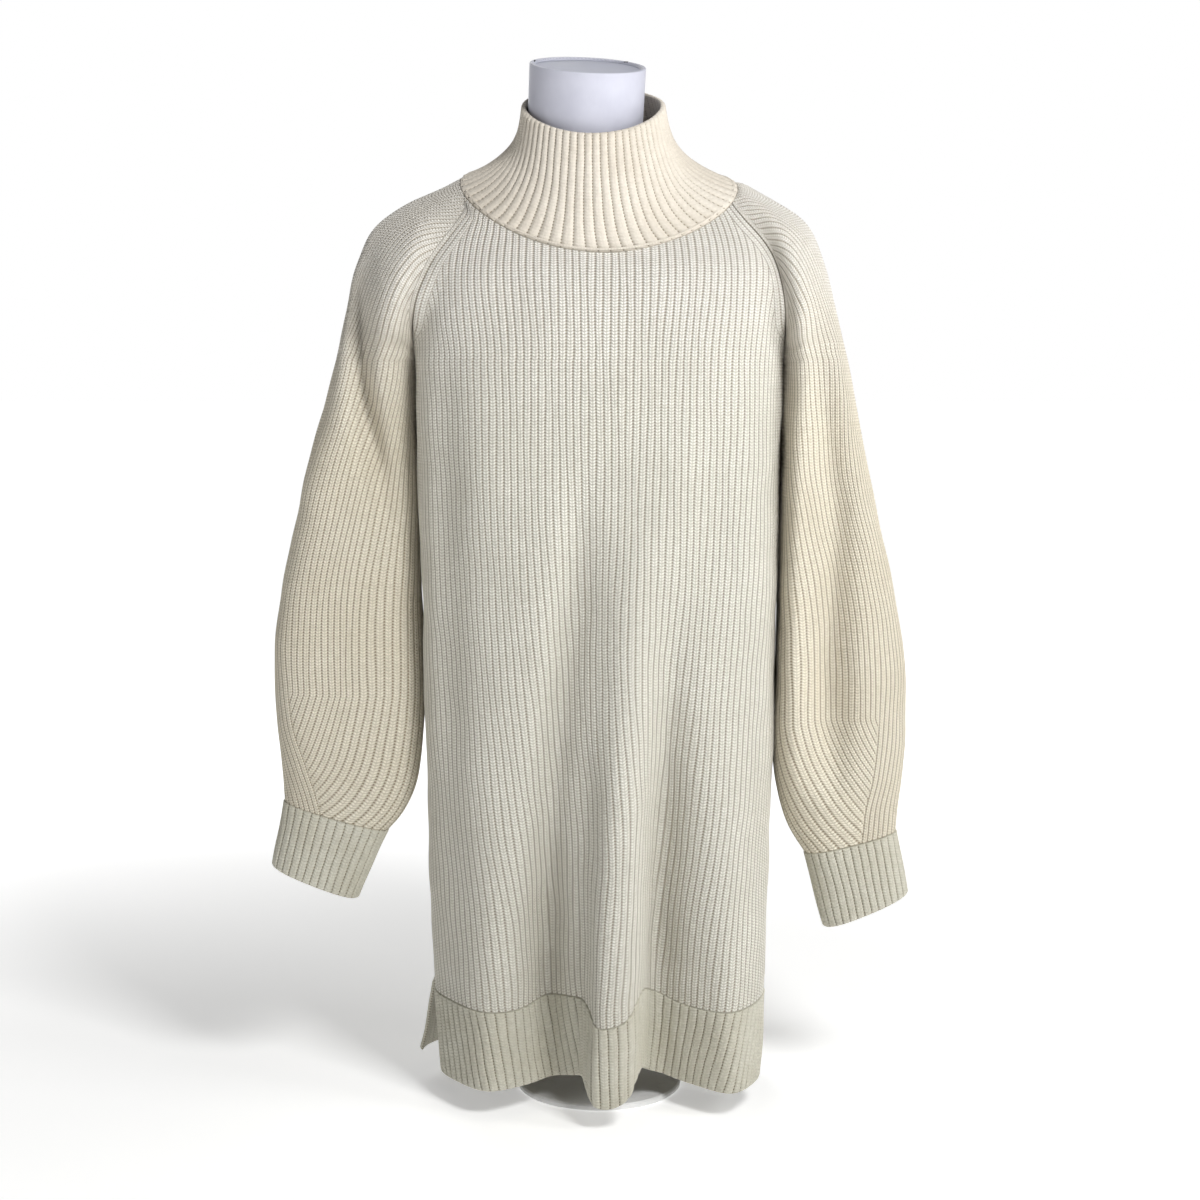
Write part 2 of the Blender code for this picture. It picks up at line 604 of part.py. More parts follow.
def finish(name, mesh, material):
    data = bpy.data.meshes.new(name)
    mesh.to_mesh(data)
    mesh.free()
    thing = bpy.data.objects.new(name, data)
    dress.objects.link(thing)
    data.materials.append(material)
    data.shade_smooth()
    data.set_sharp_from_angle(angle=math.radians(50))
    thing.location = (0.0, 0.0, FLOOR_TO_HEM)
    return thing


def material(name, colour, roughness, metallic=0.0):
    made = bpy.data.materials.new(name)
    made.use_nodes = True
    shader = made.node_tree.nodes["Principled BSDF"]
    shader.inputs["Base Color"].default_value = (*colour, 1.0)
    shader.inputs["Roughness"].default_value = roughness
    shader.inputs["Metallic"].default_value = metallic
    return made


# ---------------------------------------------------------------- the pieces
def build_panels(wool):
    for face, word in ((FRONT, "front"), (BACK, "back")):
        knit_wall(word + "_panel", lambda u, v, face=face: panel_row(face, u, v),
                  PANEL_LEVELS, PANEL_RIBS, RIB, wool, PANEL_INSIDE,
                  normal=lambda u, v, low, high, face=face: panel_directions(face, u, v, low, high),
                  ends=(SEAM, SEAM), calm=underarm_calm, seams=((face, face), (face, -face)))
        knit_wall(word + "_hem_band", lambda u, v, face=face: band_row(face, u, v),
                  (0.0, 1.0), BAND_RIBS, WIDE_RIB, wool, PANEL_INSIDE, ends=(0.0, SEAM))


def panel_directions(face, u, v, low, high):
    """Outward directions of a panel; at its hem band they are the band's own."""
    if v == low:
        return outward(lambda a, b: band_row(face, a, b), u, 1.0, 0.0, 1.0)
    return outward(lambda a, b: panel_row(face, a, b), u, v, low, high)


def cuff_outward(side, u, v, low, high):
    """Outward directions of a cuff; at the sleeve they are those of their seam."""
    own = side * outward(lambda a, b: cuff_row(side, a, b), u, v, low, high)
    if v < high:
        return own
    return unit(own + sleeve_outward(side, u, 0.0, 0.0, 2.0))


def sleeve_directions(side, u, v, low, high):
    """Outward directions of a sleeve; at the cuff they are those of their seam."""
    if v == low:
        return cuff_outward(side, u, 1.0, 0.0, 1.0)
    return sleeve_outward(side, u, v, low, high)


def build_sleeves(wool):
    for side, word in ((LEFT, "left"), (RIGHT, "right")):
        knit_wall("sleeve_" + word, lambda u, v, side=side: sleeve_row(side, u, v),
                  SLEEVE_LEVELS, SLEEVE_RIBS, RIB, wool, SLEEVE_INSIDE, closed_to=1.0,
                  normal=lambda u, v, low, high, side=side: sleeve_directions(side, u, v, low, high),
                  ends=(SEAM, SEAM), calm=underarm_calm, seams=((FRONT, side), (BACK, side)))
        knit_wall("cuff_" + word, lambda u, v, side=side: cuff_row(side, u, v),
                  (0.0, 1.0), CUFF_RIBS, WIDE_RIB, wool, SLEEVE_INSIDE, closed_to=1.0,
                  normal=lambda u, v, low, high, side=side: cuff_outward(side, u, v, low, high),
                  ends=(0.0, SEAM))


def build_collar(wool):
    knit_wall("collar", collar_row, COLLAR_LEVELS, COLLAR_RIBS, WIDE_RIB, wool,
              np.linspace(0, 1, COLLAR_RIBS + 1), closed_to=1.0, ends=(SEAM, 0.0))


def lofted(name, rings, skin):
    """Closed solid through rings of the same number of points."""
    mesh = bmesh.new()
    grid = [[mesh.verts.new(p) for p in ring] for ring in rings]
    for a, b in zip(grid[:-1], grid[1:]):
        for k in range(len(a)):
            n = (k + 1) % len(a)
            mesh.faces.new((a[k], a[n], b[n], b[k]))
    mesh.faces.new(list(reversed(grid[0])))
    mesh.faces.new(grid[-1])
    bmesh.ops.triangulate(mesh, faces=mesh.faces[:])
    bmesh.ops.recalc_face_normals(mesh, faces=mesh.faces[:])
    return finish(name, mesh, skin)


def form_ring(height):
    half, front, back, square = (float(smooth(FORM_SECTIONS, c, height)) for c in range(1, 5))
    angle = np.linspace(0, 2 * math.pi, FORM_SIDES, endpoint=False)
    c, s = np.cos(angle), np.sin(angle)
    x = half * np.sign(c) * np.abs(c) ** (2 / square)
    y = np.where(s < 0, front, back) * np.sign(s) * np.abs(s) ** (2 / square)
    lean = SHOULDER_LEAN * ease((height - 0.64) / 0.12)
    return np.stack([x, y, height - lean * x], axis=-1)


def neck_ring(down, radius):
    """Ring of the neck, a distance down its leaning axis from the top."""
    angle = np.linspace(0, 2 * math.pi, FORM_SIDES, endpoint=False)
    along = unit(np.array((math.tan(NECK_ROLL), -math.tan(NECK_LEAN), 1.0)))
    across = unit(np.cross((0.0, 1.0, 0.0), along))
    backward = np.cross(along, across)
    centre = np.array(NECK_TOP) - along * down
    return (centre + radius * np.cos(angle)[:, None] * across
            + radius * np.sin(angle)[:, None] * backward)


def build_form(skin, steel):
    heights = [row[0] for row in FORM_SECTIONS]
    rings = [form_ring(h) for h in heights[:-1]]
    neck = [neck_ring(d, NECK_RADIUS) for d in (0.070, 0.035, 0.0003)]
    blend = [form_ring(heights[-1]) * 0.5 + neck_ring(0.085, NECK_RADIUS) * 0.5]
    lofted("form_torso", rings + blend + neck, skin)
    cap = [neck_ring(0.0, NECK_RADIUS), neck_ring(-CAP_HEIGHT * 0.6, NECK_RADIUS),
           neck_ring(-CAP_HEIGHT, NECK_RADIUS - CAP_RIM * 0.4),
           neck_ring(-CAP_HEIGHT, NECK_RADIUS - CAP_RIM),
           neck_ring(-CAP_HEIGHT + CAP_DISH, NECK_RADIUS - 1.4 * CAP_RIM)]
    lofted("neck_cap", cap, skin)

    bottom = FORM_SECTIONS[0][0] + FLOOR_TO_HEM - 0.0003
    top = FOOT_THICK + 0.0003
    bpy.ops.mesh.primitive_cylinder_add(vertices=24, radius=POLE_RADIUS, depth=bottom - top,
                                        location=(0, 0, (bottom + top) / 2))
    adopt("stand_pole", steel)
    bpy.ops.mesh.primitive_cylinder_add(vertices=48, radius=FOOT_RADIUS, depth=FOOT_THICK,
                                        location=(0, 0, FOOT_THICK / 2))
    foot = adopt("stand_foot", steel)
    edge = foot.modifiers.new("edge", "BEVEL")
    edge.width = FOOT_BEVEL
    edge.segments = 1
    edge.limit_method = "ANGLE"


def adopt(name, skin):
    """Name the primitive just added and put it in the model's collection."""
    thing = bpy.context.active_object
    thing.name = thing.data.name = name
    for group in list(thing.users_collection):
        group.objects.unlink(thing)
    dress.objects.link(thing)
    thing.data.materials.append(skin)
    return thing


for old in list(bpy.data.objects):
    bpy.data.objects.remove(old, do_unlink=True)
dress = bpy.data.collections.new("sweater_dress")
bpy.context.scene.collection.children.link(dress)
ivory_wool = material("ivory_wool_knit", (0.80, 0.76, 0.64), 0.9)
white_cover = material("white_form_cover", (0.78, 0.78, 0.84), 0.5)
white_steel = material("white_coated_steel", (0.85, 0.85, 0.85), 0.4)
build_panels(ivory_wool)
build_sleeves(ivory_wool)
build_collar(ivory_wool)
build_form(white_cover, white_steel)
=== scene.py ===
"""Rib-knit sweater dress hanging on a white limbless dress form.

Cloth pieces are knitted walls: a smooth drape is laid out in rows, the ribs are raised
on it column by column, and the knit's own map (ribs across, courses up) carries the
stitches.  Metres, +Z up, the front faces -Y.
"""

import math

import bmesh
import bpy
import numpy as np
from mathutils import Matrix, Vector


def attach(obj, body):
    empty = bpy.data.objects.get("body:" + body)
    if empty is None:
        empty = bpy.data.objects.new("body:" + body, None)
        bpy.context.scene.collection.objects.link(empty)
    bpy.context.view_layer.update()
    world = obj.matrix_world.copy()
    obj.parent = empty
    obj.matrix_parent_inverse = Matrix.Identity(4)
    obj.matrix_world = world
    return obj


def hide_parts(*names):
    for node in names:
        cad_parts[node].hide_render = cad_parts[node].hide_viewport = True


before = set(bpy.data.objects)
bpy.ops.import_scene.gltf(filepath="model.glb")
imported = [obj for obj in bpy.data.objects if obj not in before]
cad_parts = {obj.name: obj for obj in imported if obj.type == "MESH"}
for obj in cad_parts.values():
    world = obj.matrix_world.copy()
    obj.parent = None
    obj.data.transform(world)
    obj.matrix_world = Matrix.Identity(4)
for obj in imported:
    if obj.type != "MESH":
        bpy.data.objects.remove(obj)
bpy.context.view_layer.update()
bpy.ops.object.select_all(action="DESELECT")

# ---------------------------------------------------------------- the garment's sizes
FLOOR_TO_HEM = 0.010        # the garment's own zero above the floor
WALL = 0.0024               # knit wall between the ribs
SKIN = 0.0001               # each face of the wall lies this much further out
COURSE = 0.0028             # height of one knitted row
BAND, VENT, UNDERARM = 0.076, 0.100, 0.700
PANEL_LENGTH, PANEL_YOKE = 0.61, 0.12       # from foot to underarm, from there to the collar
SLEEVE_LENGTH, SLEEVE_YOKE = 0.45, 0.17
COLLAR_LENGTH = 0.105
SEAM, RAGLAN_GAP = 0.0002, 0.0005
FRONT, BACK = -1, 1
LEFT, RIGHT = -1, 1         # seen from the front: -X and +X
ROUND = 0.0026              # how far from a free edge the wall rounds off
RIM_ROUND = ROUND * 1.3     # the same at the collar's rim
TUCK = 0.0007               # the same beside a sewn seam
SHARED_WAY = 0.009          # how far from a raglan seam the two sides turn alike
SHARED_RISE = 0.25          # rise over which that comes in
COLLAR_WAY_FROM, COLLAR_WAY_OVER = 0.86, 0.13       # rise where all turns as the collar does

# Points of a section before its columns are placed, of an even row and of the neck's ring;
# steps between rows, and close rows beside an edge in shares of its rounding.
DENSE, NECK_POINTS = 241, 720
EVEN = np.linspace(0, 1, 2 * DENSE - 1)
PANEL_STEP, SLEEVE_STEP, STRIP_STEP, COLLAR_STEP = 0.0050, 0.0042, 0.0042, 0.0032
EDGE_ROWS = np.array([0.0, 0.12, 0.35, 0.7, 1.1])
MICRONS = 1e6               # in a metre; points nearer than one are welded

PANEL_RIBS, SLEEVE_RIBS, BAND_RIBS, CUFF_RIBS, COLLAR_RIBS = 77, 70, 56, 30, 62
PANEL_EDGE_RIBS, SLEEVE_EDGE_RIBS = 2, 1            # ribs that run along a raglan seam
PANEL_EDGE_PITCH, SLEEVE_EDGE_PITCH = 0.0060, 0.0045
EDGE_RISE = 0.3             # share of the yoke over which they take that pitch
YOKE_OPENING = 0.10         # how much a panel's ribs part in the yoke
SHOULDER_SLANT = 1.3        # courses to a height beside the neck, where the rows slant
NARROWING = 0.004           # width over which a rib sinks where it is narrowed away
SINKING = 0.02              # part of a row value over which that starts
FLATTENED = 0.75            # how much of a rib is pressed flat beside the side seams
FLAT_EDGE, FLAT_FADE = 0.008, 0.016         # that far from the seam, and fading over this
FLAT_FOOT, FLAT_TOP, FLAT_RISE, FLAT_FALL = 0.24, 0.84, 0.05, 0.04
DART_RIBS = 9               # sleeve ribs outside each line of narrowings
DART_SPREAD = 0.24          # how much the ribs beside that line part on the way down
SLEEVE_DRIFT = 4.0          # ribs by which a sleeve's front drifts outwards on the way down
DRIFT_IN, DRIFT_LAST, DRIFT_OUT = 12, 66, 24        # ribs over which that starts, last one, ends
DRIFT_TOP, DRIFT_OVER = 0.95, 0.5                   # and the row values that it comes in over
FOLD_TAKE = 0.75            # share of a fold's extra length that takes up ribs
RIB_WAVER, STRIP_WAVER = 0.13, 0.05         # sideways wavering of a rib, in ribs
SLEEVE_YOKE_DRIFT, STRIP_DRIFT = 0.18, 0.25         # lengths that it is worked out along
# Waves of that wavering: angle gained across each rib and up each metre, start, share.
WAVES = ((0.9, 31.0, 0.0, 0.5), (0.37, -17.0, 1.7, 0.8), (2.3, 73.0, 0.6, 0.25))
CALM_RIBS = 3               # ribs beside a piece's edges that stay straighter

# Where a rib's columns stand across it and how high they stand.
FINE_RIB = ((0.00, 0.00), (0.12, 0.66), (0.29, 1.00), (0.50, 0.70), (0.71, 1.00), (0.88, 0.66))
WIDE_RIB = ((0.00, 0.00), (0.07, 0.52), (0.17, 0.88), (0.34, 1.00), (0.50, 0.98), (0.66, 1.00),
            (0.83, 0.88), (0.93, 0.52))
SOFT_RIB = ((0.00, 0.00), (0.08, 0.42), (0.19, 0.74), (0.34, 0.95), (0.50, 1.03), (0.66, 0.95),
            (0.81, 0.74), (0.92, 0.42))
FINE_RELIEF, WIDE_RELIEF, COLLAR_RELIEF = 0.0008, 0.0019, 0.0021

# Each half of the body is a rounded-square oval: height, half width, depth, squareness.
SECTIONS = {
    FRONT: [(0.000, 0.1500, 0.0840, 2.20), (0.100, 0.1600, 0.0920, 2.35), (0.200, 0.1630, 0.1020, 2.50),
            (0.320, 0.1655, 0.1120, 2.70), (0.450, 0.1680, 0.1190, 2.85), (0.580, 0.1700, 0.1250, 2.90),
            (0.660, 0.1712, 0.1270, 2.90), (0.700, 0.1715, 0.1260, 3.00), (0.750, 0.1715, 0.1190, 3.20),
            (0.780, 0.1715, 0.1090, 3.25), (0.798, 0.1715, 0.0980, 3.20), (0.815, 0.1715, 0.0860, 3.00),
            (0.830, 0.1715, 0.0725, 2.75), (0.846, 0.1715, 0.0515, 2.50)],
    BACK: [(0.000, 0.1600, 0.0940, 2.20), (0.100, 0.1600, 0.1000, 2.25), (0.200, 0.1630, 0.1080, 2.30),
           (0.320, 0.1655, 0.1140, 2.35), (0.450, 0.1680, 0.1130, 2.40), (0.580, 0.1700, 0.1080, 2.50),
           (0.700, 0.1715, 0.1080, 2.50), (0.750, 0.1715, 0.1090, 2.50), (0.800, 0.1705, 0.1060, 2.45),
           (0.830, 0.1630, 0.1010, 2.30), (0.850, 0.1500, 0.0920, 2.15), (0.865, 0.1340, 0.0810, 2.05),
           (0.875, 0.1247, 0.0740, 2.00)],
}
# Raglan seams from the underarm up to the collar: height, distance across.
RAGLAN = {
    FRONT: [(0.700, 0.1715), (0.720, 0.1713), (0.750, 0.1685), (0.770, 0.1645), (0.790, 0.1580),
            (0.812, 0.1450), (0.830, 0.1320), (0.846, 0.1212)],
    BACK: [(0.700, 0.1715), (0.730, 0.1710), (0.760, 0.1680), (0.790, 0.1610), (0.820, 0.1500),
           (0.850, 0.1350), (0.872, 0.1212)],
}
LEFT_LEAN = 0.0100          # the left front seam runs this much further in
LEAN_FROM, LEAN_OVER, LEAN_END = 0.2, 0.6, 0.10     # rises where it starts, grows and ends
RIGHT_HOLD = 0.22           # the right one keeps this share further out
HOLD_END = 0.35             # rise over which it ends
BLEND = 2.4                 # how quickly either fades towards the panel's middle
# How far forward the front seams are drawn past the body's turn, and over which share of
# half a panel: rise, distance.
SEAM_REACH = 0.28
SEAM_FORWARD = [(0.00, 0.000), (0.14, 0.026), (0.24, 0.032), (0.36, 0.026), (0.50, 0.014), (0.66, 0.004),
                (0.84, 0.000)]
# Folds of the skirt: place at the hem and at the top, width, depth, height where the fold
# starts, how far it lifts the hem, squareness.
FOLDS = {
    FRONT: [(-0.108, -0.100, 0.030, 0.028, 0.42, 0.001, 2.0),
            (-0.042, -0.020, 0.026, -0.014, 0.50, 0.012, 2.0),
            (0.0110, 0.034, 0.0262, 0.053, 0.56, -0.006, 8.0),
            (0.058, 0.064, 0.024, -0.024, 0.50, 0.022, 2.0),
            (0.129, 0.118, 0.031, 0.043, 0.42, 0.001, 2.0)],
    BACK: [(-0.120, -0.110, 0.028, 0.034, 0.40, 0.000, 2.0),
           (-0.066, -0.055, 0.026, -0.016, 0.44, 0.010, 2.0),
           (-0.012, -0.004, 0.024, 0.040, 0.48, -0.001, 2.0),
           (0.046, 0.048, 0.026, -0.018, 0.44, 0.012, 2.0),
           (0.104, 0.096, 0.030, 0.032, 0.40, 0.000, 2.0)],
}
STEEP = 3.0                 # a fold squarer than this has steep sides
SOFT_GROWTH, STEEP_GROWTH = 1.25, 0.85      # power by which a fold deepens on its way down
SOFT_LIFT, STEEP_LIFT = 1.3, 1.0            # how wide it lifts the hem, in its widths
# Soft troughs and swellings that run down between the folds: rows of height, place
# across, width, depth outwards.
DRAPES = {
    FRONT: [
        [(0.00, -0.040, 0.018, -0.006), (0.06, -0.050, 0.018, -0.022), (0.12, -0.050, 0.018, -0.036),
         (0.18, -0.048, 0.018, -0.034), (0.27, -0.045, 0.018, -0.022), (0.36, -0.037, 0.018, -0.020),
         (0.46, -0.024, 0.017, -0.015), (0.54, -0.018, 0.017, -0.007), (0.62, -0.010, 0.018, 0.000)],
        [(0.00, 0.050, 0.018, 0.000), (0.10, 0.052, 0.018, -0.014), (0.20, 0.053, 0.019, -0.022),
         (0.30, 0.058, 0.020, -0.018), (0.40, 0.063, 0.020, -0.008), (0.50, 0.068, 0.020, 0.000)],
        [(0.12, -0.138, 0.018, 0.000), (0.30, -0.139, 0.018, -0.007), (0.44, -0.140, 0.019, -0.011),
         (0.60, -0.140, 0.019, -0.011), (0.68, -0.140, 0.018, -0.005), (0.73, -0.140, 0.018, 0.000)],
        [(0.40, 0.092, 0.022, 0.000), (0.50, 0.100, 0.022, -0.003), (0.60, 0.106, 0.022, -0.004),
         (0.72, 0.104, 0.020, 0.000)],
    ],
    BACK: [
        [(0.20, 0.040, 0.030, 0.000), (0.40, 0.030, 0.030, 0.004), (0.60, 0.050, 0.030, -0.003),
         (0.74, 0.070, 0.030, 0.000)],
        [(0.30, -0.100, 0.024, 0.000), (0.48, -0.090, 0.024, -0.004), (0.64, -0.080, 0.024, 0.000)],
    ],
}
VENT_SPREAD = {FRONT: 0.034, BACK: 0.030}       # how far a vent's corners swing out
BACK_VENT_FLARE = {LEFT: 0.021, RIGHT: 0.000}
HEM_LEVEL = 0.015

# The collar's base is a tipped ellipse round the neck, and its rim a smaller one.
NECK_ACROSS, NECK_DEEP, NECK_FORWARD = 0.129, 0.086, -0.012
NECK_SIDE_HEIGHT, NECK_TIP, NECK_DIP, NECK_TILT = 0.860, 0.038, 0.025, 0.0025
NECK_CORNER = math.radians(20)
RIM_ACROSS, RIM_DEEP, RIM_FORWARD, RIM_SIDE = 0.0645, 0.0650, -0.020, -0.0062
RIM_HEIGHT, RIM_SLOPE, RIM_SAG, COLLAR_FLARE = 0.934, 0.36, 0.0075, 0.30
STRAIGHTER, STRAIGHT_POWER = 0.5, 1.5       # how much straighter it rises in front and behind

# The form's neck leans forward; its jersey rolls over the top edge round a sunk disc.
NECK_LEAN, NECK_ROLL, NECK_RADIUS = math.radians(14), math.radians(3), 0.0530
NECK_TOP = (-0.0105, -0.0290, 0.976)
COVER_LENGTH, COVER_SKIN, CAP_EDGE, CAP_ROLL, CAP_DISH = 0.066, 0.0003, 0.0032, 0.0036, 0.0019

# Sleeve rings below the underarm: height, inner, outer, front, back, slope.  Each ring's
# front is moved outwards by a share of its half width, less near the underarm and the cuff.
FULLNESS = 1.95             # roundness of a sleeve's section
FRONT_OUT = {LEFT: 0.42, RIGHT: -0.42}
FRONT_OUT_FOOT, FRONT_OUT_FADE = 0.24, 0.12
INNER_BULGE, FRONT_PULL = 0.8, 0.6          # how that rounds the inner side and flattens the front
RINGS = {
    LEFT: [(0.700, 0.1720, 0.2480, -0.077, 0.077, 0.00), (0.640, 0.1726, 0.2630, -0.075, 0.069, 0.00),
           (0.560, 0.1706, 0.2830, -0.068, 0.058, 0.00), (0.480, 0.1693, 0.3015, -0.062, 0.052, 0.00),
           (0.400, 0.1682, 0.3100, -0.056, 0.046, 0.03), (0.350, 0.1692, 0.3085, -0.051, 0.041, 0.08),
           (0.310, 0.1755, 0.3050, -0.044, 0.034, 0.16), (0.280, 0.1905, 0.3030, -0.036, 0.027, 0.25),
           (0.262, 0.2060, 0.3025, -0.031, 0.021, 0.30)],
    RIGHT: [(0.700, 0.1720, 0.2330, -0.077, 0.077, 0.00), (0.640, 0.1726, 0.2460, -0.075, 0.069, 0.00),
            (0.560, 0.1712, 0.2635, -0.068, 0.058, 0.00), (0.480, 0.1700, 0.2815, -0.062, 0.052, 0.00),
            (0.400, 0.1686, 0.2935, -0.056, 0.046, 0.02), (0.345, 0.1682, 0.2945, -0.052, 0.042, 0.05),
            (0.300, 0.1715, 0.2920, -0.045, 0.035, 0.12), (0.265, 0.1820, 0.2880, -0.036, 0.027, 0.20),
            (0.236, 0.2010, 0.2870, -0.031, 0.021, 0.25)],
}
CUFF_END = {LEFT: (0.196, 0.2355, 0.3160, -0.031, 0.017, 0.40),
            RIGHT: (0.168, 0.2205, 0.2985, -0.031, 0.017, 0.42)}
DART_TOP = {LEFT: 0.386, RIGHT: 0.360}          # height where the sleeve starts to narrow
# Sleeve head between the raglan seams: rise, front point (across, out, height), top
# height, back point (across, out, height), fullness.  YOKE_TOP: rise, across at the top.
NECK_NEAR = 0.9             # rise from which the head settles on the neck's seam
OPEN_RISE = 0.35            # rise over which the section changes from a ring to an open arch
OPENS_OVER = 0.06           # rise over which its two edges become rounded ones
YOKE = [
    (0.00, 0.2100, -0.077, 0.700, 0.700, 0.2100, 0.077, 0.700, 1.95),
    (0.20, 0.2030, -0.079, 0.742, 0.746, 0.2030, 0.074, 0.744, 1.85),
    (0.40, 0.1905, -0.077, 0.782, 0.788, 0.1905, 0.063, 0.788, 1.60),
    (0.60, 0.1745, -0.068, 0.813, 0.823, 0.1745, 0.052, 0.826, 1.30),
    (0.75, 0.1590, -0.055, 0.831, 0.842, 0.1600, 0.040, 0.848, 1.10),
    (0.90, 0.1390, -0.039, 0.845, 0.855, 0.1400, 0.020, 0.862, 1.00),
    (1.00, 0.1272, -0.027, 0.855, 0.862, 0.1272, 0.003, 0.867, 1.00),
]
YOKE_TOP = {
    LEFT: [(0.00, 0.2480), (0.20, 0.2365), (0.40, 0.2255), (0.60, 0.2095), (0.75, 0.1850), (0.90, 0.1470),
           (1.00, 0.1290)],
    RIGHT: [(0.00, 0.2330), (0.20, 0.2225), (0.40, 0.2110), (0.60, 0.1950), (0.75, 0.1715), (0.90, 0.1425),
            (1.00, 0.1290)],
}
# Long creases down the sleeves' backs: place round the sleeve from the underarm over the
# front, width, depth, lowest and highest height.
CREASE_FOOT, CREASE_TOP = 0.06, 0.08        # heights that a crease fades over
CREASES = {
    LEFT: [(0.74, 0.050, 0.011, 0.34, 0.78)],
    RIGHT: [(0.76, 0.045, 0.012, 0.36, 0.80)],
}
# Troughs and ridges on the sleeves' fronts: rows of height, distance across, width, depth
# backwards.  They start this far behind the sleeve's middle and grow over this depth.
BEHIND, DEEPEN = 0.01, 0.05
TROUGHS = {
    LEFT: [[(0.53, 0.196, 0.012, 0.000), (0.58, 0.203, 0.012, 0.012), (0.64, 0.213, 0.012, 0.026),
            (0.70, 0.219, 0.012, 0.030), (0.76, 0.219, 0.012, 0.022), (0.80, 0.213, 0.012, 0.010),
            (0.83, 0.205, 0.012, 0.000)]],
    RIGHT: [[(0.28, 0.226, 0.014, 0.000), (0.32, 0.222, 0.016, 0.012), (0.40, 0.219, 0.017, 0.022),
             (0.52, 0.222, 0.017, 0.022), (0.63, 0.212, 0.016, 0.019), (0.69, 0.206, 0.015, 0.012),
             (0.75, 0.200, 0.016, 0.000)],
            [(0.27, 0.186, 0.012, 0.000), (0.34, 0.182, 0.012, -0.008), (0.45, 0.180, 0.012, -0.012),
             (0.60, 0.180, 0.012, -0.012), (0.69, 0.181, 0.012, -0.012), (0.76, 0.180, 0.012, 0.000)]],
}
# Soft uneven swells of hanging cloth: pitch across, deep and up, phase, height.
SWELLS = [
    (52.0, 31.0, 17.0, 0.4, 0.00055), (23.0, -41.0, 38.0, 2.1, 0.00050), (-71.0, 19.0, 29.0, 4.4, 0.00035),
    (38.0, 66.0, -83.0, 1.3, 0.00025), (95.0, -27.0, 112.0, 5.2, 0.00018), (-44.0, 90.0, 61.0, 3.3, 0.00020),
]


# ---------------------------------------------------------------- small tools
def smooth(table, column, at):
    """Value of one column of a table along a smooth curve, level at its highs and lows."""
    rows = np.array(table, dtype=float)
    if rows[0, 0] > rows[-1, 0]:
        rows = rows[::-1]
    x, y = rows[:, 0], rows[:, column]
    gap = np.diff(x)
    slope = np.diff(y) / gap
    tangent = np.concatenate(([slope[0]], (slope[:-1] + slope[1:]) / 2, [slope[-1]]))
    tangent[1:-1][slope[:-1] * slope[1:] <= 0] = 0.0
    at = np.clip(np.asarray(at, dtype=float), x[0], x[-1])
    i = np.clip(np.searchsorted(x, at, side="right") - 1, 0, len(gap) - 1)
    t = (at - x[i]) / gap[i]
    return (y[i] * (1 + 2 * t) * (1 - t) ** 2 + y[i + 1] * t * t * (3 - 2 * t)
            + gap[i] * (tangent[i] * t * (1 - t) ** 2 + tangent[i + 1] * t * t * (t - 1)))


def ease(t):
    """Smooth step from 0 to 1."""
    t = np.clip(t, 0.0, 1.0)
    return t * t * (3 - 2 * t)


def unit(vectors):
    """The same directions, one long."""
    return vectors / np.maximum(np.linalg.norm(vectors, axis=-1, keepdims=True), 1e-12)


def run_of(line):
    """Length of a polyline up to each of its points."""
    return np.concatenate(([0.0], np.cumsum(np.linalg.norm(np.diff(line, axis=0), axis=1))))


def divide(line, shares):
    """Points of a polyline at shares of its length."""
    run = run_of(line)
    at = np.clip(shares, 0.0, 1.0) * run[-1]
    return np.stack([np.interp(at, run, line[:, i]) for i in range(3)], axis=1)


def at_share(rows, share):
    """Values of every row at its own shares, where each row is evenly spaced."""
    place = np.clip(share, 0.0, 1.0) * (rows.shape[1] - 1)
    low = np.minimum(place.astype(int), rows.shape[1] - 2)
    part = (place - low)[..., None]
    r = np.arange(rows.shape[0])[:, None]
    return rows[r, low] * (1 - part) + rows[r, low + 1] * part


def swell(points):
    """Small unevenness of hanging cloth, the same on both sides of every seam."""
    out = np.zeros(points.shape[:-1])
    for across, deep, up, phase, height in SWELLS:
        out += height * np.sin(points[..., 0] * across + points[..., 1] * deep + points[..., 2] * up + phase)
    return out


# ---------------------------------------------------------------- the drape of the body
def fold_out(face, across, height):
    """How far the skirt's folds and drapes stand out."""
    out = np.zeros_like(across)
    for hem, top, width, depth, start, _, square in FOLDS[face]:
        low = np.clip(1 - height / start, 0.0, 1.0)
        middle = top + (hem - top) * low
        squared = 2 + (square - 2) * low * low
        growth = low ** (STEEP_GROWTH if square > STEEP else SOFT_GROWTH)
        out += depth * growth * np.exp(-np.abs((across - middle) / width) ** squared)
    for drape in DRAPES[face]:
        middle, width, depth = (smooth(drape, c, height) for c in (1, 2, 3))
        out += depth * np.exp(-((across - middle) / width) ** 2)
    return out


def hem_height(face, across):
    """Height of the hem, with the lift of each fold and valley."""
    height = np.full_like(across, HEM_LEVEL)
    for hem, _, width, _, _, rise, square in FOLDS[face]:
        reach = width * (STEEP_LIFT if square > STEEP else SOFT_LIFT)
        height += rise * np.exp(-np.abs((across - hem) / reach) ** square)
    return height


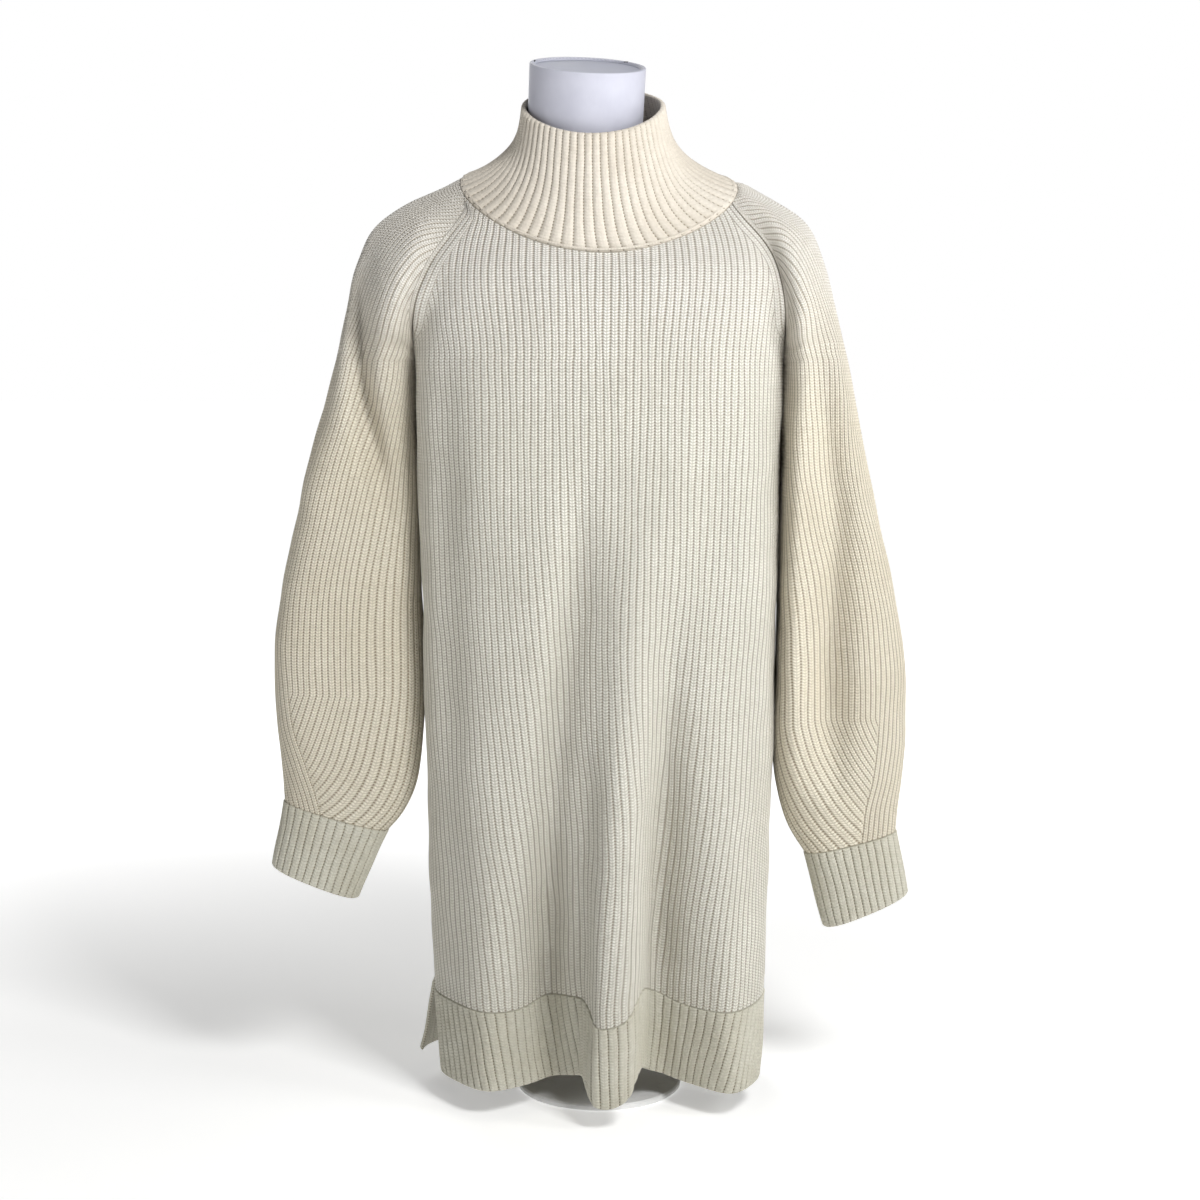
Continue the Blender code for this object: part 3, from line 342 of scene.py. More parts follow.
def oval_point(face, turn, height, folded=True):
    """Point of the body at turn -1 (left side) to 1 (right side), seen from outside."""
    table = SECTIONS[face]
    half = smooth(table, 1, height)
    depth = smooth(table, 2, height)
    power = 2 / smooth(table, 3, height)
    angle = np.clip(turn, -1.0, 1.0) * math.pi / 2
    low = np.clip(1 - height / VENT, 0.0, 1.0)
    spread = low * VENT_SPREAD[face]
    if face == BACK:
        half = half + np.where(angle > 0, BACK_VENT_FLARE[LEFT], BACK_VENT_FLARE[RIGHT]) * low
    across = -face * half * np.sign(angle) * np.abs(np.sin(angle)) ** power
    out = spread + (depth - spread) * np.abs(np.cos(angle)) ** power
    if folded:
        out = out + fold_out(face, across, height)
    return np.stack([across, face * (out + SEAM), height + 0 * across], axis=-1)


def turn_of(face, across, height):
    """The turn at which the body stands this far across."""
    table = SECTIONS[face]
    part = np.clip(across / smooth(table, 1, height), 0.0, 1.0)
    return np.arcsin(part ** (smooth(table, 3, height) / 2)) * 2 / math.pi


def neck_seam(angle):
    """Point of the collar seam; angle 0 is +X and a negative one is in front."""
    s, c = np.sin(angle), np.cos(angle)
    return np.stack([NECK_ACROSS * c, NECK_FORWARD + NECK_DEEP * s,
                     NECK_SIDE_HEIGHT + NECK_TIP * s - NECK_DIP * s * s - NECK_TILT * c], axis=-1)


def level_turns(face, u, level):
    """Turns that stand at even lengths along the body's section at a height."""
    turns = np.linspace(-1, 1, 2 * DENSE)
    flat = run_of(oval_point(face, turns, level + 0 * turns, folded=False))
    run = flat + FOLD_TAKE * (run_of(oval_point(face, turns, level + 0 * turns)) - flat)
    return np.interp(u * run[-1], run, turns)


def hem_of(face, u):
    """Height of the hem at even places u from one side to the other."""
    return hem_height(face, oval_point(face, 2 * u - 1, HEM_LEVEL + 0 * u)[:, 0])


def band_row(face, u, v):
    """Row of a hem band: v 0 at the hem, 1 at the panel."""
    height = hem_of(face, u) + BAND * v
    return oval_point(face, level_turns(face, u, float(np.mean(height))), height)


def panel_row(face, u, v):
    """Row of a body panel: v 0 at the hem band, 1 at the underarm, 2 at the collar."""
    if v <= 1:
        foot = hem_of(face, u) + BAND
        height = foot + (UNDERARM - foot) * v
        return oval_point(face, level_turns(face, u, float(np.mean(height))), height)
    rise = v - 1
    start = level_turns(face, u, UNDERARM)
    corner = math.pi / 2 - NECK_CORNER
    top = neck_seam(face * math.pi / 2 + (2 * u - 1) * corner)
    seam_turn = turn_of(face, np.abs(top[:, 0]), top[:, 2]) * np.sign(2 * u - 1)
    height = UNDERARM + rise * (top[:, 2] - UNDERARM)
    raglan = RAGLAN[face]
    top_edge = raglan[-1][0]
    edge_height = UNDERARM + rise * (top_edge - UNDERARM)
    across = smooth(raglan, 1, edge_height)
    if face == FRONT:
        left, right = ease(BLEND / 2 - BLEND * u), ease(BLEND * u - BLEND / 2)
        lean = LEFT_LEAN * ease((rise - LEAN_FROM) / LEAN_OVER) * ease((1 - rise) / LEAN_END)
        across = across - lean * left
        across = across + RIGHT_HOLD * (raglan[0][1] - across) * ease((1 - rise) / HOLD_END) * right
    edge = turn_of(face, across, edge_height)
    last = turn_of(face, raglan[-1][1], top_edge)
    turn = start + (seam_turn - start) * (1 - edge) / (1 - last)
    landing = oval_point(face, seam_turn, top[:, 2])
    row = oval_point(face, turn, height) + ease(rise) ** 2 * (top - landing)
    if face == FRONT:
        beside = ease((np.abs(2 * u - 1) - (1 - SEAM_REACH)) / SEAM_REACH)
        row[:, 1] -= float(smooth(SEAM_FORWARD, 1, rise)) * beside
    return row


# ---------------------------------------------------------------- the drape of the sleeves
def hermite(points, tangents, count=DENSE // 4):
    """Smooth line through points with the given tangents."""
    t = np.linspace(0, 1, count)[:, None]
    spans = []
    for p, q, a, b in zip(points[:-1], points[1:], tangents[:-1], tangents[1:]):
        spans.append(p * (1 + 2 * t) * (1 - t) ** 2 + q * t * t * (3 - 2 * t)
                     + a * t * (1 - t) ** 2 + b * t * t * (t - 1))
    return np.concatenate([spans[0]] + [s[1:] for s in spans[1:]])


def ring_line(side, ring):
    """Closed section of a sleeve or cuff from its inner side over the front."""
    height, inner, outer, front, back, slope = ring
    middle, half, level = (inner + outer) / 2, (outer - inner) / 2, (front + back) / 2
    under = ease((UNDERARM - height) / FRONT_OUT_FADE)
    above = ease((height - FRONT_OUT_FOOT) / FRONT_OUT_FADE)
    shift = FRONT_OUT[side] * half * float(under * above)
    corners = [np.array((side * x, y, z)) for x, y, z in
               ((inner, level, height - slope * half), (middle + shift, front, height + slope * shift),
                (outer, level, height + slope * half), (middle, back, height))]
    across = (corners[2] - corners[0]) / 2 * FULLNESS
    deep = np.array((0.0, back - front, 0.0)) / 2 * FULLNESS
    inside = -deep * (1 - INNER_BULGE * min(shift, 0.0) / half)
    over_front = across * (1 - FRONT_PULL * abs(shift) / half)
    return hermite(corners + corners[:1], [inside, over_front, deep, -across, inside])


def raglan_point(face, side, rise):
    """Point of a sleeve's edge beside its raglan seam."""
    u = 1.0 if face * side < 0 else 0.0
    point = panel_row(face, np.array([u]), 1 + rise)[0]
    return point - (0.0, face * SEAM, 0.0) + (side * RAGLAN_GAP, 0.0, 0.0)


def sleeve_line(side, v):
    """Section of a sleeve: v 0 at the cuff, 1 at the underarm, 2 at the collar."""
    if v <= 1:
        rings = RINGS[side]
        height = rings[-1][0] + (rings[0][0] - rings[-1][0]) * v
        return ring_line(side, (height,) + tuple(float(smooth(rings, c, height)) for c in range(1, 6)))
    rise = v - 1
    value = [float(smooth(YOKE, c, rise)) for c in range(9)]
    start, end = raglan_point(FRONT, side, rise), raglan_point(BACK, side, rise)
    front = np.array((side * value[1], value[2], value[3]))
    top = np.array((side * float(smooth(YOKE_TOP[side], 1, rise)), (value[2] + value[6]) / 2, value[4]))
    back = np.array((side * value[5], value[6], value[7]))
    if rise > NECK_NEAR:
        near = float(ease((rise - NECK_NEAR) / (1 - NECK_NEAR)))
        for point, angle in ((front, -NECK_CORNER / 2), (top, 0.0), (back, NECK_CORNER / 2)):
            point += near * (neck_seam(np.array(angle if side == RIGHT else math.pi - angle)) - point)
    full = value[8]
    for point in (front, back):
        point[0] += side * (YOKE_TOP[side][0][1] - YOKE_TOP[LEFT][0][1]) / 2 * (1 - rise)
    open_part = float(ease(rise / OPEN_RISE))
    closed_way = (1 - open_part) * (front - back) / 2 * FULLNESS
    tangents = [closed_way + open_part * (front - start), (top - start) / 2 * full,
                (back - front) / 2 * full, (end - top) / 2 * full, closed_way + open_part * (end - back)]
    return hermite([start, front, top, back, end], tangents)


def creased(side, points):
    """A sleeve's even section, pushed in by its creases and troughs."""
    share = np.linspace(0, 1, len(points))
    quarter = (len(points) - 1) // 4
    middle = points[:-1:quarter].mean(axis=0)
    level = points[:, 2]
    inward = unit((middle - points) * (1, 1, 0))
    for place, width, depth, low, high in CREASES[side]:
        fade = ease((level - low) / CREASE_FOOT) * ease((high - level) / CREASE_TOP)
        push = depth * fade * np.exp(-((share - place) / width) ** 2)
        points = points + push[:, None] * inward
    facing = ease((middle[1] + BEHIND - points[:, 1]) / DEEPEN)
    for trough in TROUGHS[side]:
        across, width, depth = (smooth(trough, c, level) for c in (1, 2, 3))
        back = depth * facing * np.exp(-((side * points[:, 0] - across) / width) ** 2)
        points = points + back[:, None] * (0, 1, 0)
    return points


def cuff_line(side, v):
    """Section of a cuff: v 0 at its end, 1 at the sleeve."""
    top, end = RINGS[side][-1], CUFF_END[side]
    return ring_line(side, tuple(b + (a - b) * v for a, b in zip(top, end)))


def collar_line(v, count):
    """Section of the collar from the wearer's back round: v 0 at its seam, 1 at its rim."""
    angle = math.pi / 2 + 2 * math.pi * np.linspace(0, 1, count)
    base = neck_seam(angle)
    c, s = np.cos(angle), np.sin(angle)
    y = RIM_FORWARD + RIM_DEEP * s
    level = RIM_HEIGHT + RIM_SLOPE * (y - RIM_FORWARD) - RIM_SAG * np.clip(-s, 0, 1) ** 2
    rim = np.stack([RIM_SIDE + RIM_ACROSS * c, y, level], axis=-1)
    full = math.exp(-1 / COLLAR_FLARE)
    flare = (math.exp(-v / COLLAR_FLARE) - full) / (1 - full)
    straight = STRAIGHTER * np.abs(s) ** STRAIGHT_POWER
    points = rim + (base - rim) * (flare + straight * (1 - v - flare))[:, None]
    points[:, 2] = base[:, 2] + (rim[:, 2] - base[:, 2]) * v
    return points


# ---------------------------------------------------------------- rows, outward ways, ribs
def outward_of(rows, closed, sign):
    """Outward direction at every point of a grid of even rows."""
    along = np.gradient(rows, axis=1)
    wrap = (rows[:, 1] - rows[:, -2]) / 2
    ring = np.asarray(closed)
    along[ring, 0] = wrap[ring]
    along[ring, -1] = wrap[ring]
    up = np.gradient(rows, axis=0)
    return sign * unit(np.cross(along, up))


def neck_outward(points):
    """Outward directions shared by all that meets at the collar seam."""
    rows = np.stack([collar_line(v, NECK_POINTS + 1) for v in (0.0, 0.004)])
    way = unit(np.cross(np.gradient(rows[0], axis=0), rows[1] - rows[0]))
    angle = np.arctan2((points[..., 1] - NECK_FORWARD) / NECK_DEEP, points[..., 0] / NECK_ACROSS)
    place = (angle - math.pi / 2) / (2 * math.pi) % 1.0 * NECK_POINTS
    low = np.minimum(place.astype(int), NECK_POINTS - 1)
    part = (place - low)[..., None]
    return unit(way[low] * (1 - part) + way[low + 1] * part)


def columns_of(ribs, profile):
    """Rib coordinate and relief of every column of a knitted face."""
    at = np.array([p[0] for p in profile])
    high = np.array([p[1] for p in profile])
    place = np.concatenate([(np.arange(ribs)[:, None] + at).ravel(), [ribs]])
    return place, np.concatenate([np.tile(high, ribs), [0.0]])


def rounded(distance, reach):
    """0 at an edge, 1 beyond its reach, along a quarter circle."""
    t = np.clip(distance / reach, 0.0, 1.0)
    return np.sqrt(1 - (1 - t) ** 2)


def edge_levels(length, foot, top, step):
    """Row values from 0 to 1, with close rows where the wall rounds off at its two ends."""
    first = EDGE_ROWS * foot / length
    last = 1 - EDGE_ROWS[::-1] * top / length
    count = max(2, int(round((last[0] - first[-1]) * length / step)))
    return np.concatenate([first, np.linspace(first[-1], last[0], count + 1)[1:-1], last])


def waver(place, height, ribs, size=RIB_WAVER):
    """Ribs never run quite straight: a small sideways drift, none at the piece's edges."""
    calm = ease(place / CALM_RIBS) * ease((ribs - place) / CALM_RIBS)
    drift = sum(share * np.sin(place * across + height * up + phase) for across, up, phase, share in WAVES)
    return size * calm * drift


# ---------------------------------------------------------------- meshes
def finished(name, data, wool):
    """Turn a mesh's faces outwards, shade it and put it in the scene."""
    shape = bmesh.new()
    shape.from_mesh(data)
    bmesh.ops.recalc_face_normals(shape, faces=shape.faces[:])
    shape.to_mesh(data)
    shape.free()
    data.shade_smooth()
    data.materials.append(wool)
    piece = bpy.data.objects.new(name, data)
    bpy.context.scene.collection.objects.link(piece)
    return piece


def end_strips(out, ins, outer_at, inner_at):
    """Three-sided faces, last corner repeated, between the outer and the inner line at both
    ends, whose points stand at different shares."""
    wide, thin = out.shape[1], ins.shape[1]
    strips = []
    for line in (0, -1):
        i = j = 0
        while i < wide - 1 or j < thin - 1:
            if j == thin - 1 or (i < wide - 1 and outer_at[line][i + 1] <= inner_at[line][j + 1] + 1e-9):
                strips.append((out[line, i], out[line, i + 1], ins[line, j], ins[line, j]))
                i += 1
            else:
                strips.append((out[line, i], ins[line, j + 1], ins[line, j], ins[line, j]))
                j += 1
    return np.array(strips)


def knit_mesh(name, grids, maps, shares, closed, wool):
    """Closed wall between an outer and an inner grid of points with the same rows."""
    rows, wide, thin = len(grids[0]), grids[0].shape[1], grids[1].shape[1]
    points = np.concatenate([grid.reshape(-1, 3) for grid in grids]) + (0.0, 0.0, FLOOR_TO_HEM)
    knit = np.concatenate([part.reshape(-1, 2) for part in maps])
    out = np.arange(rows * wide).reshape(rows, wide)
    ins = rows * wide + np.arange(rows * thin).reshape(rows, thin)
    quads = []
    for grid in (out, ins[:, ::-1]):
        low, high = grid[:-1], grid[1:]
        quads.append(np.stack([low[:, :-1], low[:, 1:], high[:, 1:], high[:, :-1]], -1).reshape(-1, 4))
    is_open = ~np.asarray(closed)[1:]
    for c in (0, -1):
        quads.append(np.stack([out[:-1, c], out[1:, c], ins[1:, c], ins[:-1, c]], -1)[is_open])
    quads = np.concatenate(quads + [end_strips(out, ins, shares[0][[0, -1]], shares[1][[0, -1]])])

    # Points that meet are welded, and a face keeps three or four different corners.
    _, first, same = np.unique(np.round(points * MICRONS).astype(np.int64), axis=0, return_index=True,
                               return_inverse=True)
    same = same.reshape(-1)
    welded = same[quads]
    twins = np.stack([welded[:, k] == welded[:, (k + 1) % 4] for k in range(4)], -1)
    crossed = (welded[:, 0] == welded[:, 2]) | (welded[:, 1] == welded[:, 3])
    polygons = list(quads[~twins.any(axis=1) & ~crossed])
    for k in range(4):
        three = twins[:, k] & (twins.sum(axis=1) == 1) & ~crossed
        polygons += list(quads[three][:, [(k + 1) % 4, (k + 2) % 4, (k + 3) % 4]])

    sizes = np.array([len(p) for p in polygons])
    corners = np.concatenate(polygons)
    data = bpy.data.meshes.new(name)
    data.vertices.add(len(first))
    data.vertices.foreach_set("co", points[first].ravel())
    data.loops.add(len(corners))
    data.loops.foreach_set("vertex_index", same[corners])
    data.polygons.add(len(sizes))
    data.polygons.foreach_set("loop_start", np.concatenate(([0], np.cumsum(sizes)[:-1])))
    data.update(calc_edges=True)
    data.uv_layers.new(name="knit").uv.foreach_set("vector", knit[corners].ravel())
    data.validate()
    return finished(name, data, wool)


def knit_piece(name, rows, ways, shares, places, relief, courses, closed, side_round, end_round, wool):
    """Raise the ribs on a drape and close it into a knitted wall.

    shares, places, courses and side_round hold one grid for the outer face and one for the
    inner face.  Both rounds are 1 inside the piece and 0 on its edges."""
    middle = -WALL / 2
    grids, maps = [], []
    for k, (face, skin) in enumerate(((relief, SKIN), (-WALL, -SKIN))):
        grid, way = at_share(rows, shares[k]), unit(at_share(ways, shares[k]))
        for values in (grid, way):
            values[closed, -1] = values[closed, 0]
        full = side_round[k] * end_round[:, None]
        height = middle + (face - middle) * full + swell(grid) + skin
        grids.append(grid + height[..., None] * way)
        maps.append(np.stack([np.broadcast_to(part, full.shape) for part in (places[k], courses[k])], -1))
    return knit_mesh(name, grids, maps, shares, closed, wool)


# ---------------------------------------------------------------- the big knitted pieces
NECK_ROWS = np.array([0.010, 0.007, 0.004, 0.0015, 0.0])       # rises left to the collar's seam
YOKE_ROWS = np.concatenate([1 + np.linspace(0, 1, 43)[1:-1], 2 - NECK_ROWS])


def levels_of(length, step):
    """Rows of a big piece: 0 at its foot, 1 at the underarm, 2 at the collar."""
    return np.concatenate([edge_levels(length, TUCK, TUCK, step)[:-len(EDGE_ROWS)], [1.0], YOKE_ROWS])


panel_levels = levels_of(PANEL_LENGTH, PANEL_STEP)
sleeve_levels = levels_of(SLEEVE_LENGTH, SLEEVE_STEP)


def reaches(rows):
    """Length of every row."""
    return np.linalg.norm(np.diff(rows, axis=1), axis=2).sum(axis=1)


def middles(lines):
    """Share of every line's length that lies before its middle point."""
    runs = [run_of(line) for line in lines]
    return np.array([run[len(run) // 2] / run[-1] for run in runs])


def clear_side(points):
    """Ribs lie flatter where a sleeve hangs against the body."""
    from_ends = np.minimum(np.linalg.norm(points - points[:, :1], axis=2),
                           np.linalg.norm(points - points[:, -1:], axis=2))
    height = points[..., 2]
    near = ease((height - FLAT_FOOT) / FLAT_RISE) * ease((FLAT_TOP - height) / FLAT_FALL)
    return 1 - FLATTENED * (1 - ease((from_ends - FLAT_EDGE) / FLAT_FADE)) * near


def share_ways(drapes, ways):
    """Give both sides of each raglan seam, and all that meets the collar, the same ways."""
    shared = len(YOKE_ROWS)
    near = ease((YOKE_ROWS - 1) / SHARED_RISE)[:, None]
    for face in (FRONT, BACK):
        for side in (LEFT, RIGHT):
            sleeve = (side, "sleeve")
            ends = ((face, -1 if face * side < 0 else 0), (sleeve, 0 if face == FRONT else -1))
            seam = unit(sum(ways[key][-shared:, end] for key, end in ends))
            for key, end in ends:
                drape, way = drapes[key][-shared:], ways[key][-shared:]
                gone = np.linalg.norm(drape - drape[:, end][:, None], axis=2)
                blend = ((1 - ease(gone / SHARED_WAY)) * near)[..., None]
                ways[key][-shared:] = unit(way * (1 - blend) + seam[:, None] * blend)
    part = ease((YOKE_ROWS - 1 - COLLAR_WAY_FROM) / COLLAR_WAY_OVER)[:, None, None]
    for key, drape in drapes.items():
        ways[key][-shared:] = unit(ways[key][-shared:] * (1 - part) + neck_outward(drape[-shared:]) * part)


def lay_drapes():
    """Even rows of the four big pieces, their outward ways and their middle lines."""
    drapes, ways, centres = {}, {}, {}
    for face in (FRONT, BACK):
        rows = [panel_row(face, EVEN, v) for v in panel_levels]
        centres[face] = middles(rows)
        drapes[face] = np.stack([row if v <= 1 else divide(row, EVEN) for row, v in zip(rows, panel_levels)])
        ways[face] = outward_of(drapes[face], np.zeros(len(rows), bool), 1)
    for side in (LEFT, RIGHT):
        lines = [sleeve_line(side, v) for v in sleeve_levels]
        centres[side, "sleeve"] = middles(lines)
        drapes[side, "sleeve"] = np.stack([creased(side, divide(line, EVEN)) for line in lines])
        ways[side, "sleeve"] = outward_of(drapes[side, "sleeve"], sleeve_levels <= 1, side)
    share_ways(drapes, ways)
    return drapes, ways, centres


def fashion(columns, moved, ribs, edges, reach, centre_at, pitch, edge):
    """Shares of columns that keep their distance from a piece's middle line and end where
    its edge ribs run along the seam, and how far each rib still stands there."""
    left, right = -centre_at * reach + edges * edge, (1 - centre_at) * reach - edges * edge
    straight = (columns - ribs / 2) * pitch * np.ones_like(reach)
    run = np.clip((moved - ribs / 2) * pitch, left, right)
    run = np.where(columns < edges, left - (edges - columns) * edge, run)
    run = np.where(columns > ribs - edges, right + (columns - ribs + edges) * edge, run)
    cut = ease((straight - left) / NARROWING) * ease((right - straight) / NARROWING)
    cut = np.where((columns < edges) | (columns > ribs - edges), 1.0, cut)
    return (run + centre_at * reach) / reach, cut


def make_panel(name, rows, ways, centre_at, wool):
    place, high = columns_of(PANEL_RIBS, FINE_RIB)
    places = (place, np.arange(PANEL_RIBS + 1, dtype=float))
    reach = reaches(rows)[:, None]
    pitch = float(reach[panel_levels == 1.0][0, 0]) / PANEL_RIBS
    level = panel_levels[:, None]
    rise = np.clip(level - 1, 0, 1)
    drift_at = np.minimum(level, 1) * PANEL_LENGTH + rise * PANEL_YOKE
    edge = pitch + (PANEL_EDGE_PITCH - pitch) * ease(rise / EDGE_RISE)
    yoke_pitch = pitch * (1 + YOKE_OPENING * ease(rise))

    def laid(columns):
        """Share of every column along its row, and how far its rib stands there."""
        moved = columns + waver(columns, drift_at, PANEL_RIBS)
        share, cut = fashion(columns, moved, PANEL_RIBS, PANEL_EDGE_RIBS, reach, centre_at[:, None],
                             yoke_pitch, edge)
        return (np.where(rise > 0, share, moved / PANEL_RIBS),
                np.where(rise > 0, np.maximum(cut, 1 - ease(rise / SINKING)), 1.0))

    (outer_share, fade), (inner_share, _) = (laid(columns) for columns in places)
    shares = (outer_share, inner_share)
    centre = rows[:, rows.shape[1] // 2]
    run = run_of(centre) / COURSE
    upper = panel_levels >= 1
    courses = []
    for share in shares:
        height = at_share(rows, share)[..., 2]
        above = np.interp(height, centre[upper, 2], run[upper])
        spare = np.maximum(height - centre[-1, 2], 0) / COURSE * SHOULDER_SLANT
        courses.append(np.where(level <= 1, level * run[panel_levels == 1.0][0], above + spare))
    relief = FINE_RELIEF * high * fade * clear_side(at_share(rows, outer_share))
    end = rounded(np.minimum(panel_levels * PANEL_LENGTH, (2 - panel_levels) * PANEL_YOKE), TUCK)
    side = [rounded(np.minimum(s, 1 - s) * reach, TUCK) for s in shares]
    return knit_piece(name, rows, ways, shares, places, relief, courses, np.zeros(len(rows), bool), side, end,
                      wool)


def make_sleeve(side, name, rows, ways, centre_at, wool):
    place, high = columns_of(SLEEVE_RIBS, FINE_RIB)
    places = (place, np.arange(SLEEVE_RIBS + 1, dtype=float))
    rings = RINGS[side]
    dart = (DART_TOP[side] - rings[-1][0]) / (rings[0][0] - rings[-1][0])
    reach = reaches(rows)[:, None]
    pitch = float(reach[sleeve_levels == 1.0][0, 0]) / SLEEVE_RIBS
    dart_pitch = np.interp(dart, sleeve_levels, reach[:, 0]) / SLEEVE_RIBS
    level = sleeve_levels[:, None]
    rise = np.clip(level - 1, 0, 1)
    drift_at = np.minimum(level, 1) * SLEEVE_LENGTH + rise * SLEEVE_YOKE_DRIFT
    edge = pitch + (SLEEVE_EDGE_PITCH - pitch) * ease(rise / EDGE_RISE)
    middle, half = SLEEVE_RIBS / 2, reach / 2
    line = half - DART_RIBS * dart_pitch
    apart = dart_pitch * (1 + DART_SPREAD * (1 - level / dart))

    def laid(columns):
        """Share of every column along its row, and how far its rib stands there."""
        drift = SLEEVE_DRIFT * ease(columns / DRIFT_IN) * ease((DRIFT_LAST - columns) / DRIFT_OUT)
        moved = columns + waver(columns, drift_at, SLEEVE_RIBS)
        moved = moved + drift * ease((DRIFT_TOP - level) / DRIFT_OVER)
        yoke, cut = fashion(columns, moved, SLEEVE_RIBS, SLEEVE_EDGE_RIBS, reach, centre_at[:, None],
                            pitch, edge)
        from_seam = np.minimum(np.where(moved < middle, moved, SLEEVE_RIBS - moved) * apart, line)
        outside = np.abs(columns + drift - middle) <= DART_RIBS
        narrowed = np.where(outside, half + (moved - middle) * dart_pitch,
                            np.where(moved < middle, from_seam, 2 * half - from_seam)) / (2 * half)
        gone = np.minimum(columns + drift, SLEEVE_RIBS - columns - drift) * apart
        sunk = np.maximum(ease((line - gone) / NARROWING), 1 - ease((dart - level) / SINKING))
        below = np.where(level < dart, np.where(outside, 1.0, sunk), 1.0)
        return (np.where(rise > 0, yoke, np.where(level < dart, narrowed, moved / SLEEVE_RIBS)),
                np.where(rise > 0, np.maximum(cut, 1 - ease(rise / SINKING)), below))

    (outer_share, fade), (inner_share, _) = (laid(columns) for columns in places)
    shares = (outer_share, inner_share)
    steps = np.linalg.norm(np.diff(rows, axis=0), axis=2).mean(axis=1)
    count = (np.concatenate(([0.0], np.cumsum(steps))) / COURSE)[:, None]
    relief = FINE_RELIEF * high * fade * clear_side(at_share(rows, outer_share))
    end = rounded(np.minimum(sleeve_levels * SLEEVE_LENGTH, (2 - sleeve_levels) * SLEEVE_YOKE), TUCK)
    opened = ease(rise / OPENS_OVER)
    side_round = [1 - (1 - rounded(np.minimum(s, 1 - s) * reach, TUCK)) * opened for s in shares]
    return knit_piece(name, rows, ways, shares, places, relief, (count, count), sleeve_levels <= 1,
                      side_round, end, wool)


# ---------------------------------------------------------------- bands, cuffs and collar
def make_strip(name, rows, outside, levels, length, ribs, profile, relief, end, wool, closed=True, inner=1):
    """A strip of straight wide ribs, closed into a ring or open at both sides."""
    place, high = columns_of(ribs, profile)
    places = (place, np.linspace(0, ribs, inner * ribs + 1))
    level = levels[:, None]
    shares = [(c + waver(c, level * STRIP_DRIFT, ribs, STRIP_WAVER)) / ribs for c in places]
    reach = reaches(rows)[:, None]
    side = [np.ones_like(s) if closed else rounded(np.minimum(s, 1 - s) * reach, ROUND) for s in shares]
    ring = np.full(len(rows), closed)
    count = level * length / COURSE
    return knit_piece(name, rows, outward_of(rows, ring, outside), shares, places, relief * high,
                      (count, count), ring, side, end, wool)


def make_band(face, name, wool):
    levels = edge_levels(BAND, ROUND, TUCK, STRIP_STEP)
    rows = np.stack([band_row(face, EVEN, v) for v in levels])
    end = rounded(levels * BAND, ROUND) * rounded((1 - levels) * BAND, TUCK)
    return make_strip(name, rows, 1, levels, BAND, BAND_RIBS, WIDE_RIB, WIDE_RELIEF, end, wool, closed=False)


def make_cuff(side, name, wool):
    length = RINGS[side][-1][0] - CUFF_END[side][0]
    levels = edge_levels(length, ROUND, TUCK, STRIP_STEP)
    rows = np.stack([divide(cuff_line(side, v), EVEN) for v in levels])
    end = rounded(levels * length, ROUND) * rounded((1 - levels) * length, TUCK)
    return make_strip(name, rows, side, levels, length, CUFF_RIBS, WIDE_RIB, WIDE_RELIEF, end, wool)


def make_collar(name, wool):
    levels = edge_levels(COLLAR_LENGTH, TUCK, ROUND, COLLAR_STEP)
    rows = np.stack([divide(collar_line(v, NECK_POINTS + 1), EVEN) for v in levels])
    end = rounded((1 - levels) * COLLAR_LENGTH, RIM_ROUND) * rounded(levels * COLLAR_LENGTH, TUCK)
    return make_strip(name, rows, 1, levels, COLLAR_LENGTH, COLLAR_RIBS, SOFT_RIB, COLLAR_RELIEF, end, wool,
                      inner=2)


CHAIN_POINTS, CHAIN_SIDES, CHAIN_LOOPS = 900, 8, 260
CHAIN_RADIUS, CHAIN_PROUD, CHAIN_LEVEL = 0.0012, 0.0019, 0.018
CHAIN_WAIST, CHAIN_BULGE, CHAIN_FLAT = 0.80, 0.35, 0.9      # shares of that radius
CHAIN_KNIT = 0.22           # place across a rib that gives the chain its colour


def make_seam_chain(name, wool):
    """Linking chain round the collar's base: a row of small loops that stands proud."""
    seam = collar_line(CHAIN_LEVEL, NECK_POINTS + 1)
    line = divide(seam, np.linspace(0, 1, CHAIN_POINTS + 1))[:-1]
    way = neck_outward(line)
    along = unit(np.roll(line, -1, axis=0) - np.roll(line, 1, axis=0))
    beside = np.cross(along, way)
    loops = np.arange(CHAIN_POINTS) * CHAIN_LOOPS / CHAIN_POINTS
    thick = CHAIN_RADIUS * (CHAIN_WAIST + CHAIN_BULGE * np.abs(np.sin(math.pi * loops)))
    turn = (np.arange(CHAIN_SIDES) * 2 * math.pi / CHAIN_SIDES)[None, :, None]
    lift = thick[:, None, None] * (np.cos(turn) * way[:, None] * CHAIN_FLAT + np.sin(turn) * beside[:, None])
    points = (line + way * CHAIN_PROUD)[:, None] + lift + (0.0, 0.0, FLOOR_TO_HEM)
    ring = np.arange(CHAIN_POINTS * CHAIN_SIDES).reshape(CHAIN_POINTS, CHAIN_SIDES)
    ahead = np.roll(ring, -1, axis=0)
    quads = np.stack([ring, np.roll(ring, -1, axis=1), np.roll(ahead, -1, axis=1), ahead], -1).reshape(-1, 4)
    data = bpy.data.meshes.new(name)
    data.from_pydata(points.reshape(-1, 3).tolist(), [], quads.tolist())
    corners = quads.ravel()
    knit = np.stack([CHAIN_KNIT + 0.0 * corners, loops[corners // CHAIN_SIDES]], -1)
    data.uv_layers.new(name="knit").uv.foreach_set("vector", knit.ravel())
    return finished(name, data, wool)


